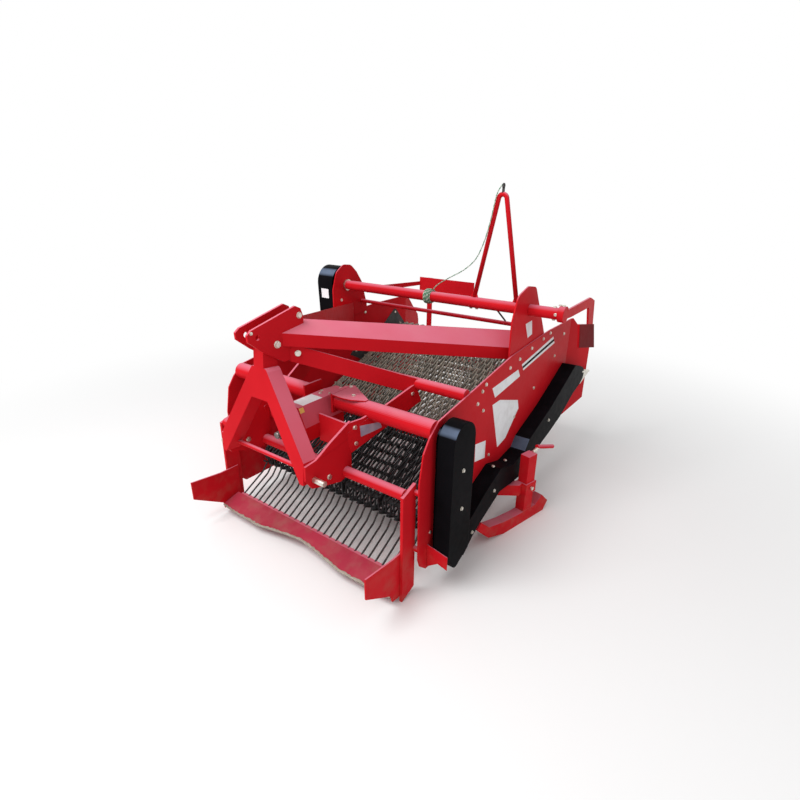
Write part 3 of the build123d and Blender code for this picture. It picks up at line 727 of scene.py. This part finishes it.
# x, y, z, facing, half width over the corners
boltRows = {
    "case": [
        (805, 249, 595, "X", 9), (805, 254, 389, "X", 9), (782, 657, 276, "X", 9), (782, 429, 141, "X", 9),
        (782, 1034, 295, "X", 9), (782, 1391, 428, "X", 9), (745, 701, 392, "Z", 8), (745, 854, 362, "Z", 8)],
    "plate_left": [
        (690, 1492, 958, "X", 9), (690, 1383, 945, "X", 9), (690, 1213, 925, "X", 9), (690, 1051, 900, "X", 9),
        (690, 652, 866, "X", 9), (690, 616, 840, "X", 9), (690, 1313, 649, "X", 9), (690, 747, 426, "X", 8),
        (690, 572, 786, "X", 9), (690, 638, 728, "X", 9), (690, 1048, 548, "X", 8), (690, 169, 254, "X", 8),
        (690, 159, 136, "X", 8), (690, 930, 880, "X", 9), (690, 1750, 900, "X", 9), (690, 1620, 780, "X", 8)],
    "plate_right": [
        (-690, 1492, 958, "-X", 9), (-690, 1383, 945, "-X", 9), (-690, 1213, 925, "-X", 9),
        (-690, 652, 866, "-X", 9), (-690, 616, 840, "-X", 9), (-690, 1313, 649, "-X", 9),
        (-690, 747, 426, "-X", 8), (-690, 572, 786, "-X", 9), (-690, 638, 728, "-X", 9),
        (-690, 169, 254, "-X", 8), (-690, 159, 136, "-X", 8), (-690, 1750, 900, "-X", 9)],
    "inner_right": [
        (-674, 1081, 1062, "X", 9), (-674, 1190, 985, "X", 9), (-682, 1347, 930, "X", 9),
        (-682, 760, 820, "X", 9), (-682, 1400, 700, "X", 9)],
    "mast": [
        (45, -128, 1139, "X", 15), (45, -11, 1071, "X", 13), (45, 12, 1246, "X", 13), (45, -262, 1216, "X", 7),
        (-45, -128, 1139, "-X", 15), (-45, -11, 1071, "-X", 13), (-45, 22, 1232, "-X", 13),
        (-45, -262, 1216, "-X", 7), (307, 80, 731, frameLeft, 10), (308.5, 85, 646, frameLeft, 10),
        (297, -96, 542, "X", 12), (397.8, 425, 816, frameLeft, 10), (66.4, -28.8, 1078.8, braceLeft, 13),
        (-307, 80, 731, frameRight, 10), (-308.5, 85, 646, frameRight, 10), (-297, -96, 542, "-X", 12),
        (-397.8, 425, 816, frameRight, 10), (-66.4, -28.8, 1078.8, braceRight, 13),
        (285, -96, 560, "-X", 12), (-285, -96, 560, "X", 12)],
}


def boltTree():
    tree, start, out = nodeTree("boltHeads", boltSizes)
    nodes, links = tree.nodes, tree.links
    head = nodes.new("GeometryNodeMeshCylinder")
    head.inputs["Vertices"].default_value = 6
    head.inputs["Radius"].default_value = 1.0
    links.new(start.outputs["Head Height"], head.inputs["Depth"])
    washer = nodes.new("GeometryNodeMeshCylinder")
    washer.inputs["Vertices"].default_value = 14
    links.new(start.outputs["Washer Radius"], washer.inputs["Radius"])
    links.new(start.outputs["Washer Height"], washer.inputs["Depth"])
    lift = nodes.new("GeometryNodeTransform")
    halfHead = times(nodes, links, start.outputs["Head Height"], 0.5)
    links.new(head.outputs["Mesh"], lift.inputs["Geometry"])
    links.new(vectorOf(nodes, links, Z=halfHead), lift.inputs["Translation"])
    both = nodes.new("GeometryNodeJoinGeometry")
    links.new(lift.outputs[0], both.inputs[0])
    links.new(washer.outputs["Mesh"], both.inputs[0])
    turn = nodes.new("FunctionNodeAlignRotationToVector")
    turn.axis = "Z"
    links.new(pointValue(nodes, "facing"), turn.inputs["Vector"])
    copies = nodes.new("GeometryNodeInstanceOnPoints")
    links.new(start.outputs["Geometry"], copies.inputs["Points"])
    links.new(both.outputs[0], copies.inputs["Instance"])
    links.new(turn.outputs[0], copies.inputs["Rotation"])
    links.new(pointValue(nodes, "size", "FLOAT"), copies.inputs["Scale"])
    finishTree(tree, copies.outputs[0], out, "zinc")
    return tree


boltHeads = boltTree()


def makeBolts(name, rows, body="machine"):
    mesh = bpy.data.meshes.new("boltPoints")
    mesh.from_pydata([tuple(place(x, y, z)) for x, y, z, axis, size in rows], [], [])
    mesh.attributes.new("facing", "FLOAT_VECTOR", "POINT")
    mesh.attributes.new("size", "FLOAT", "POINT")
    for i, (x, y, z, axis, size) in enumerate(rows):
        mesh.attributes["facing"].data[i].vector = axisTurns[axis] if isinstance(axis, str) else axis
        mesh.attributes["size"].data[i].value = size / 1000
    settle(runTree(name, addPiece("boltPoints", mesh), boltHeads, boltSizes), body, "zinc")


for boltName, rows in boltRows.items():
    makeBolts("bolts_" + boltName, rows)
print("webs, comb and bolts ready")

# rope lever: one bent round rod with an eye
leverSizes = {"feet": (335.0, 599.0), "tubeTop": 1193.3, "y": 1141.0, "top": 1757.0, "bend": 24.0, "radius": 13.0,
              "bendSteps": 14, "eyeRise": 42.0, "eyeOuter": 14.0, "eyeInner": 7.0, "eyeHalf": 3.0, "eyeSteps": 20,
              "neckFoot": 11.0, "neckTop": 10.0, "neckRise": 34.0}


def makeLever():
    footL, footR = leverSizes["feet"]
    y, top, bend = leverSizes["y"], leverSizes["top"], leverSizes["bend"]
    mid, half = (footL + footR) / 2, (footR - footL) / 2
    z0 = leverSizes["tubeTop"] + 2
    rise = top - bend - z0
    lean = atan2(half, rise) - atan2(bend, sqrt(half ** 2 + rise ** 2 - bend ** 2))
    points = [place(footL, y, z0)]
    for i in range(leverSizes["bendSteps"] + 1):
        angle = pi - lean - (pi - 2 * lean) * i / leverSizes["bendSteps"]
        points.append(place(mid + bend * cos(angle), y, top - bend + bend * sin(angle)))
    points.append(place(footR, y, z0))
    rod = meshOf("lever_rod", *roundBar(points, leverSizes["radius"] / 1000, 18), "red", True)
    settle(rod, "gate_lever", "red_paint", "a_lever")
    # eye plate with a hole, lying across the rod
    x0, x1 = mid - leverSizes["eyeHalf"], mid + leverSizes["eyeHalf"]
    eyeZ, count = top + leverSizes["eyeRise"], leverSizes["eyeSteps"]
    verts, faces = [], []
    for x in (x0, x1):
        for radius in (leverSizes["eyeOuter"], leverSizes["eyeInner"]):
            verts += [place(x, y + radius * cos(tau * k / count), eyeZ + radius * sin(tau * k / count))
                      for k in range(count)]
    for k in range(count):
        j = (k + 1) % count
        faces += [(k, j, count + j, count + k), (2 * count + k, 3 * count + k, 3 * count + j, 2 * count + j),
                  (k, 2 * count + k, 2 * count + j, j), (count + k, count + j, 3 * count + j, 3 * count + k)]
    foot, neckTop = leverSizes["neckFoot"], leverSizes["neckTop"]
    neckZ = top + leverSizes["neckRise"]
    neck = slab([(y - foot, top), (y + foot, top), (y + neckTop, neckZ), (y - neckTop, neckZ)], x0, x1)
    fitPiece("lever_eye", [(verts, faces), neck], "darkSteel", "gate_lever", "red_paint", "a_lever")


makeLever()

# rope: hangs from the eye to the turns round the tube, in metres of the frame
ropeRoute = [(0.46, 0.2025, 1.866), (0.442, 0.1845, 1.837), (0.43, 0.1785, 1.76), (0.414, 0.1795, 1.67),
             (0.384, 0.1815, 1.565), (0.342, 0.1825, 1.468), (0.262, 0.1825, 1.4), (0.167, 0.1825, 1.351),
             (0.086, 0.1895, 1.304), (0.044, 0.2025, 1.268)]
# layers: turns, step along the tube a turn, outwards
ropeSizes = {"diameter": 0.008, "perTurn": 14, "tubeY": 0.2025, "tubeZ": 1.221, "coilRadius": 0.0368,
             "coilStart": 0.046, "layers": ((6, -0.0088, 0.0), (4, 0.0105, 0.0078)), "easeIn": 8,
             "tremble": 0.0008, "wander": 0.0012, "twist": 0.028, "strandOut": 0.23, "strandRadius": 0.265,
             "strands": ("ropeGreen", "ropeWhite", "ropeGreen")}


def ropeLine():
    route = list(ropeRoute)
    x, angle = ropeSizes["coilStart"], pi / 2
    for turns, step, outwards in ropeSizes["layers"]:
        for i in range(turns * ropeSizes["perTurn"]):
            angle -= tau / ropeSizes["perTurn"]
            x += step / ropeSizes["perTurn"]
            radius = (ropeSizes["coilRadius"] + outwards * min(1, i / ropeSizes["easeIn"])
                      + ropeSizes["tremble"] * sin(0.37 * i))
            wander = ropeSizes["wander"] * sin(0.23 * i) if outwards else 0.0
            route.append((x + wander, ropeSizes["tubeY"] + radius * cos(angle),
                          ropeSizes["tubeZ"] + radius * sin(angle)))
    curveData = bpy.data.curves.new("ropeLine", "CURVE")
    curveData.dimensions = "3D"
    curveData.resolution_u = 6
    spline = curveData.splines.new("NURBS")
    spline.points.add(len(route) - 1)
    for point, at in zip(spline.points, route):
        point.co = (*at, 1)
    spline.order_u = 3
    spline.use_endpoint_u = True
    line = addObject("ropeLine", curveData)
    points = [v.co.copy() for v in plainMesh(line).vertices]
    bpy.data.objects.remove(line)
    return points


# three strands twisted round one line
def makeRope():
    points = ropeLine()
    count, diameter = len(ropeSizes["strands"]), ropeSizes["diameter"]
    long, sideways, strands = 0.0, None, [[] for look in ropeSizes["strands"]]
    for i, here in enumerate(points):
        along = (points[min(i + 1, len(points) - 1)] - points[max(i - 1, 0)]).normalized()
        if sideways is None:
            sideways = along.orthogonal().normalized()
        sideways = (sideways - along * sideways.dot(along)).normalized()
        up = along.cross(sideways)
        if i:
            long += (here - points[i - 1]).length
        for k in range(count):
            angle = tau * (long / ropeSizes["twist"] + k / count)
            out = (sideways * cos(angle) + up * sin(angle)) * diameter * ropeSizes["strandOut"]
            strands[k].append(here + out)
    verts, faces = joinParts([roundBar(strand, diameter * ropeSizes["strandRadius"], 6) for strand in strands])
    mesh = bpy.data.meshes.new("pull_rope_strands")
    mesh.from_pydata([tuple(v) for v in verts], [], faces)
    for look in ropeSizes["strands"]:
        mesh.materials.append(mats[look])
    perStrand = len(mesh.polygons) // count
    for i, face in enumerate(mesh.polygons):
        face.material_index = min(i // perStrand, count - 1)
        face.use_smooth = True
    rope = addObject("pull_rope_strands", mesh)
    settle(rope, "gate_lever", "rope", "pull_rope", "rope_wrap")
    print("rope", round(long, 3), "m")


makeRope()
print("lever and rope ready")

# ears: rounded plates with the pivot's hole; corners as Y, Z and radius
earSizes = {"inner": 674.0, "outer": 682.0, "pivot": (1141.0, 1161.0), "hole": 32.2, "holeSteps": 40, "arcSteps": 6}
earOutlines = {
    "ear_left": (1, [(935, 900, 0), (925, 964, 40), (922, 1130, 60), (975, 1262, 70), (1100, 1297, 60),
                     (1205, 1280, 55), (1300, 1135, 60), (1406, 976, 30), (1410, 940, 0)]),
    "ear_right": (-1, [(1005, 920, 0), (1001, 1142, 60), (1040, 1258, 60), (1112, 1303, 60), (1190, 1294, 60),
                       (1250, 1240, 60), (1304, 1165, 60), (1357, 995, 30), (1360, 945, 0)]),
}


# a bend in place of each corner that has a radius
def roundedOutline(corners):
    points = []
    for i, (y, z, radius) in enumerate(corners):
        here = Vector((y, z))
        back = Vector(corners[i - 1][:2]) - here
        ahead = Vector(corners[(i + 1) % len(corners)][:2]) - here
        if not radius:
            points.append(here)
            continue
        cut = min(radius / tan(back.angle(ahead) / 2), 0.48 * back.length, 0.48 * ahead.length)
        start, end = here + back.normalized() * cut, here + ahead.normalized() * cut
        for k in range(earSizes["arcSteps"] + 1):
            t = k / earSizes["arcSteps"]
            points.append(start * (1 - t) ** 2 + here * 2 * t * (1 - t) + end * t * t)
    return points


# a flat curve filled round its hole, stood up across the machine
def plateWithHole(name, outline, x0, x1, look):
    (y, z), hole, steps = earSizes["pivot"], earSizes["hole"], earSizes["holeSteps"]
    flat = bpy.data.curves.new(name, "CURVE")
    flat.dimensions = "2D"
    flat.fill_mode = "BOTH"
    flat.extrude = abs(x1 - x0) / 2000
    ring = [Vector((y + hole * cos(tau * k / steps), z + hole * sin(tau * k / steps))) for k in range(steps)]
    for loop in (outline, ring):
        spline = flat.splines.new("POLY")
        spline.points.add(len(loop) - 1)
        spline.use_cyclic_u = True
        for point, at in zip(spline.points, loop):
            point.co = (at[0] / 1000, at[1] / 1000, 0, 1)
    source = addObject(name, flat)
    mesh = plainMesh(source)
    bpy.data.objects.remove(source)
    middle = (x0 + x1) / 2
    verts = [place(middle + v.co.z * 1000, v.co.x * 1000, v.co.y * 1000) for v in mesh.vertices]
    return meshOf(name, verts, [tuple(f.vertices) for f in mesh.polygons], look)


for name, (side, corners) in earOutlines.items():
    plate = plateWithHole(name + "_plate", roundedOutline(corners), side * earSizes["inner"],
                          side * earSizes["outer"], "red")
    settle(plate, "machine", "red_paint", name)
print("ears ready")

# blank labels and marks: thin plates on the sheet metal
labelThick = 0.6
# outline in Y and Z, the plate's outer x, look
sideLabels = {
    "label_plate_small": ([(585, 452), (700, 428), (697, 533), (580, 556)], 690, "label"),
    "label_plate_warn": ([(746, 722), (834, 723), (1083, 642), (1104, 584), (953, 447), (852, 429)], 690, "label"),
    "label_plate_long": ([(729, 821), (1044, 840), (1078, 791), (769, 757)], 690, "label"),
    "label_plate_rear": ([(1090, 858), (1555, 922), (1590, 872), (1118, 815)], 690, "label"),
    "label_band": ([(1100, 843), (1567, 905), (1578, 889), (1108, 829)], 690.6, "black"),
    "label_ear": ([(1104, 1088), (1190, 1093), (1212, 1009), (1152, 999)], 682, "label"),
}
# corners in space, thickness, the way it stands off, look
slantLabels = {
    "label_frame": ([(314.4, 106, 731.6), (345, 223.5, 719), (347.6, 233.2, 686.9), (315.8, 111.6, 672.6)],
                    labelThick + 0.8, frameLeft, "greyPlate"),
    "label_case_right": ([(-795, 1009.4, 1142), (-728, 1009.4, 1142), (-728, 1012.8, 1078), (-795, 1012.8, 1078)],
                         -labelThick, (0, 1, 0), "label"),
    "label_gearbox": ([(-37, 4, 800), (41, 4, 800), (41, 138, 800), (-37, 138, 800)],
                      labelThick, (0, 0, 1), "label"),
    "mark_gearbox": ([(46, -30, 795.8), (46, -2, 795.8), (57, -2, 772.8), (57, -30, 772.8)],
                     labelThick, (0.9, 0, 0.43), "yellow"),
}
for name, (outline, x, look) in sideLabels.items():
    fitPiece(name, [slab(outline, x, x + labelThick)], look, "machine", "zinc")
for name, (corners, thick, direction, look) in slantLabels.items():
    fitPiece(name, [thinPlate(corners, thick, direction)], look, "machine", "zinc")
print("labels ready")

# gearbox housing with its plates, and the axle tube's halves
gearSizes = {"front": -40.0, "back": 240.0, "topHalf": 44.0, "top": 800.0, "sideHalf": 90.0, "side": 704.0,
             "bottom": 628.0, "lidShare": 0.94, "lidThick": 8.0, "noseFront": -70.0, "noseRadius": 52.0,
             "noseBore": 22.0, "noseChamfer": 4.0, "humpHalf": 60.0,
             "hump": [(232, 700), (232, 792), (345, 782), (380, 740), (300, 700)],
             "webPlate": [(86, 751), (284.5, 744), (284.5, 640), (200, 606), (86, 606)],
             "webPlateY": (62.0, 74.0), "axleY": 194.0, "axleZ": 781.0, "axleRadius": 45.0, "axleFrom": 98.0,
             "axleTo": 681.7, "flange": [(146, 730), (146, 832), (272, 832), (272, 730)], "flangeX": (92, 104),
             "cover": [(76, 160), (76, 272), (110, 311), (292, 200), (292, 180), (226, 146), (172, 139), (108, 142)],
             "coverThick": 6.0}
gearBolts = [(200, 196, 831, "Z", 9), (110, 280, 831, "Z", 8), (-12, 176, 800, "Z", 8), (30, 205, 800, "Z", 8),
             (-30, 205, 800, "Z", 8), (0, 320, 784, "Z", 9), (36, -40, 735, "-Y", 8), (-36, -40, 735, "-Y", 8),
             (60, -40, 690, "-Y", 8), (-60, -40, 690, "-Y", 8), (60, -40, 645, "-Y", 8), (-60, -40, 645, "-Y", 8)]
splineSizes = {"count": 6, "tip": 17.5, "root": 14.2, "tipY": -143.0, "chamfer": 3.0, "tipShare": 0.86,
               "shoulderY": -83.0, "backY": -41.0, "shoulder": 20.0, "z": 682.0}


# boss around the input shaft, open in the middle
def noseRing():
    bore, radius, edge = gearSizes["noseBore"], gearSizes["noseRadius"], gearSizes["noseChamfer"]
    back, front = gearSizes["front"], gearSizes["noseFront"]
    rows = ((bore, back), (radius, back), (radius, front + edge), (radius - edge, front), (bore, front))
    steps, size = 32, len(rows)
    verts, faces = [], []
    for k in range(steps):
        angle = tau * k / steps
        verts += [place(r * cos(angle), y, splineSizes["z"] + r * sin(angle)) for r, y in rows]
        one, two = k * size, (k + 1) % steps * size
        faces += [(one + i, one + (i + 1) % size, two + (i + 1) % size, two + i) for i in range(size)]
    return verts, faces


def makeGearbox():
    g = gearSizes
    section = [(-g["sideHalf"], g["side"]), (-g["topHalf"], g["top"]), (g["topHalf"], g["top"]),
               (g["sideHalf"], g["side"]), (g["sideHalf"], g["bottom"]), (-g["sideHalf"], g["bottom"])]
    lid = [(x * g["lidShare"], g["bottom"] + (z - g["bottom"]) * g["lidShare"]) for x, z in section]
    lidBack = g["front"] + g["lidThick"]
    parts = [crossSlab(section, lidBack, g["back"]), crossSlab(lid, g["front"], lidBack + 0.5),
             slab(g["hump"], -g["humpHalf"], g["humpHalf"]), noseRing()]
    # the axle tube's halves bolt on at the sides, the left one under a cover plate
    halves = []
    for side in (-1, 1):
        inner, outer = ((side * x, g["axleY"], g["axleZ"]) for x in (g["axleFrom"], g["axleTo"]))
        halves.append(pin(inner, outer, g["axleRadius"], 40))
        parts.append(slab(g["flange"], side * g["flangeX"][0], side * g["flangeX"][1]))
        parts.append(crossSlab([(side * x, z) for x, z in g["webPlate"]], *g["webPlateY"]))
    coverZ = g["axleZ"] + g["axleRadius"] - 1
    parts.append(thinPlate([(x, y, coverZ) for x, y in g["cover"]], g["coverThick"], (0, 0, 1)))
    fitPiece("gearbox_housing", parts, "red", "machine", "red_paint", "gearbox")
    fitPiece("axle_halves", halves, "red", "machine", "red_paint", "axle_tube")
    makeBolts("bolts_gearbox", gearBolts)


# splined stub with a collar behind it
def makeSplines():
    s = splineSizes
    outline = []
    for k in range(s["count"]):
        for share, radius in ((-0.23, s["tip"]), (0.23, s["tip"]), (0.27, s["root"]), (0.73, s["root"])):
            angle = tau * (k + share) / s["count"]
            outline.append((radius * cos(angle), radius * sin(angle)))
    rings = ((s["tipY"], s["tipShare"]), (s["tipY"] + s["chamfer"], 1.0), (s["shoulderY"], 1.0))
    size, last = len(outline), len(rings) - 1
    verts = [place(x * share, y, s["z"] + z * share) for y, share in rings for x, z in outline]
    faces = [tuple(range(size)), tuple(range((last + 1) * size - 1, last * size - 1, -1))]
    for one in range(0, last * size, size):
        faces += [(one + k, one + (k + 1) % size, one + size + (k + 1) % size, one + size + k) for k in range(size)]
    collar = pin((0, s["shoulderY"], s["z"]), (0, s["backY"], s["z"]), s["shoulder"], 28)
    fitPiece("pto_splines", [(verts, faces), collar], "steel", "pto_input", "bare_steel", "pto_shaft")


makeGearbox()
makeSplines()
print("gearbox and input ready")

# worn front edge of the blade
edgeSizes = {"front": ((0, -50), (120, -62), (314, -95), (560, -92), (634.5, -85)), "rearY": 30.0, "rearZ": 45.0,
             "tilt": 20.0, "wide": 11.0, "thick": 10.0, "stand": 0.35, "step": 14.0, "worn": (0.6, 1.35), "seed": 7}


# a point of the flat blade, swung down about its rear edge
def bladePoint(x, y, z):
    turn = radians(edgeSizes["tilt"])
    back = y - edgeSizes["rearY"]
    return place(x, edgeSizes["rearY"] + back * cos(turn) - z * sin(turn),
                 edgeSizes["rearZ"] + back * sin(turn) + z * cos(turn))


def makeBladeEdge():
    front = [(-x, y) for x, y in reversed(edgeSizes["front"][1:])] + list(edgeSizes["front"])
    random.seed(edgeSizes["seed"])
    line = []
    for (xa, ya), (xb, yb) in zip(front, front[1:]):
        steps = max(2, int(abs(xb - xa) / edgeSizes["step"]))
        line += [(xa + (xb - xa) * i / steps, ya + (yb - ya) * i / steps) for i in range(steps)]
    line.append(front[-1])
    off, under = edgeSizes["stand"], -edgeSizes["thick"]
    verts, faces = [], []
    for x, y in line:
        wide = edgeSizes["wide"] * random.uniform(*edgeSizes["worn"])
        section = ((y + wide, 0.05), (y + wide * 0.8, off), (y - off, off), (y - off, under - off),
                   (y + 2, under - off), (y + 2, under / 2))
        verts += [bladePoint(x, a, b) for a, b in section]
    size, last = 6, len(line) - 1
    for i in range(last):
        one, two = i * size, (i + 1) * size
        faces += [(one + k, two + k, two + (k + 1) % size, one + (k + 1) % size) for k in range(size)]
    faces += [tuple(range(size)), tuple(range((last + 1) * size - 1, last * size - 1, -1))]
    fitPiece("blade_edge", [(verts, faces)], "bareEdge", "machine", "bare_steel")


makeBladeEdge()

# rubber flaps on the walls beside the webs, outlines in Y and Z
flapSizes = {"outer": 682.0, "inner": 677.0,
             "rear": [(1575, 800), (1707, 892), (1730, 892), (1855, 752), (1800, 742)],
             "front": [(1167, 640), (1214, 682), (1400, 640), (1452, 600), (1445, 520), (1373, 530)],
             "bolts": ((1718, 868), (1230, 655), (1390, 615))}


def makeFlaps():
    parts, bolts = [], []
    for side, facing in ((-1, "X"), (1, "-X")):
        inner, outer = side * flapSizes["inner"], side * flapSizes["outer"]
        parts += [slab(flapSizes[flap], inner, outer) for flap in ("rear", "front")]
        bolts += [(inner, y, z, facing, 8) for y, z in flapSizes["bolts"]]
    fitPiece("wall_flaps", parts, "rubber", "machine", "web_black")
    makeBolts("bolts_flaps", bolts)


makeFlaps()

# skid screws, pins and handles: ends as across, along the runner and Z, then radius and sides
skidSizes = {"x": 826.0, "y": 960.0, "turn": -13.4}
skidDress = {
    "handle": ("red", "red_paint", [((-2, 96, 398), (4, 252, 352), 12, 16)]),
    "screw": ("zinc", "zinc", [((0, 84, 240), (0, 84, 384), 8, 14), ((0, 84, 300), (0, 84, 322), 15, 6),
                               ((0, 60, 376), (0, 104, 388), 10, 12)]),
    "pin": ("zinc", "zinc", [((-44, 24, 168), (44, 24, 168), 7, 14), ((40, 24, 168), (50, 24, 168), 12, 6)]),
}


# a place on a skid, along its runner and across it, outwards positive
def skidPoint(side, across, along, z):
    turn = radians(skidSizes["turn"])
    x = skidSizes["x"] + across * cos(turn) - along * sin(turn)
    y = skidSizes["y"] + across * sin(turn) + along * cos(turn)
    return side * x, y, z


for side, body in ((1, "left_skid"), (-1, "right_skid")):
    for name, (look, slotName, bars) in skidDress.items():
        parts = [pin(skidPoint(side, *one), skidPoint(side, *two), radius, sides) for one, two, radius, sides in bars]
        fitPiece(body + "_" + name, parts, look, body, slotName)

# upper edge of the frame plates, straight from the hitch foot to the axle tube
frameEdge = {"x": (285, 297), "foot": [(-178, 658), (-72, 712), (43, 761), (60, 768), (60, 688), (-60, 668)],
             "lean": [(44, 700), (44, 762), (120, 764), (150, 771), (150, 735)],
             "leanFrom": (285.2, 40.0), "leanShare": 0.2612, "leanForward": 1.5, "leanThick": 11.5}


def makeFrameEdges():
    x0, y0 = frameEdge["leanFrom"]
    parts = []
    for side, facing in ((-1, frameRight), (1, frameLeft)):
        parts.append(slab(frameEdge["foot"], *(side * x for x in frameEdge["x"])))
        over = [(side * (x0 + (y - y0) * frameEdge["leanShare"]), y + frameEdge["leanForward"], z)
                for y, z in frameEdge["lean"]]
        parts.append(thinPlate(over, frameEdge["leanThick"], facing))
    fitPiece("frame_edges", parts, "red", "machine", "red_paint")


makeFrameEdges()

# small brackets round the left case, and on the pivot tube and its arm
bracketSizes = {
    "caseFoot": [(690.5, 149, 196), (722, 149, 190), (804, 149, 172), (804, 149, 98), (752, 149, 112),
                 (690.5, 149, 66)],
    "caseFootThick": 4.0,
    "carrier": [(1962, 612), (2150, 560), (2155, 545), (1972, 500), (1960, 540)], "carrierX": (775, 779),
    "carrierRod": ((778, 1975, 590), (778, 2148, 552), 7, 12),
    # painted shade: a thin darker red sheet laid on the arm plate
    "armShadeSheet": [(1412, 1057), (1705, 1002), (1788, 832), (1462, 905)], "armShadeSheetX": (884, 884.8),
    "stay": ((463, 1163, 1142), (481, 1279, 1044), 5, 12),
    "gusset": [(-24, 1188), (24, 1188), (11, 1226), (-11, 1226)], "gussetY": (1137, 1145),
    "ringRadius": 38.0, "ringWide": 12.0,
}
pivotRings = {"pivot_ring_left": (650, "red"), "pivot_ring_right": (-672, "zinc")}
leverBolts = [(822, 1141, 1193.5, "Z", 9), (822, 1141, 1128.5, "-Z", 9), (840, 1108, 1161, "-Y", 8),
              (850, 1141, 1206, "Z", 9), (870, 1141, 1206, "Z", 9), (-682.5, 1141, 1161, "-X", 16),
              (872.5, 1141, 1161, "X", 15), (316, 1141, 1128.5, "-Z", 9), (354, 1141, 1128.5, "-Z", 9),
              (872.5, 1600, 1080, "X", 8), (872.5, 1560, 960, "X", 8)]


def makeBrackets():
    b = bracketSizes
    foot = thinPlate(b["caseFoot"], b["caseFootThick"], (0, -1, 0))
    fitPiece("case_foot", [foot], "red", "machine", "red_paint")
    carrier = [slab(b["carrier"], *b["carrierX"]), pin(*b["carrierRod"])]
    fitPiece("spring_carrier", carrier, "zinc", "machine", "zinc")
    y, z = earSizes["pivot"]
    for name, (x, look) in pivotRings.items():
        ring = pin((x, y, z), (x + b["ringWide"], y, z), b["ringRadius"], 28)
        fitPiece(name, [ring], look, "gate_lever", "red_paint")
    # the arm plate's painted shade, a thin darker red sheet
    fitPiece("arm_plate_shade_sheet", [slab(b["armShadeSheet"], *b["armShadeSheetX"])], "darkRed", "gate_lever", "red_paint")
    fitPiece("pivot_stay", [pin(*b["stay"])], "darkSteel", "gate_lever", "bare_steel")
    gussets = [crossSlab([(foot + x, z) for x, z in b["gusset"]], *b["gussetY"]) for foot in leverSizes["feet"]]
    fitPiece("lever_gussets", gussets, "red", "gate_lever", "red_paint")
    makeBolts("bolts_lever", leverBolts, "gate_lever")


makeBrackets()
print("flaps, skids and brackets ready")
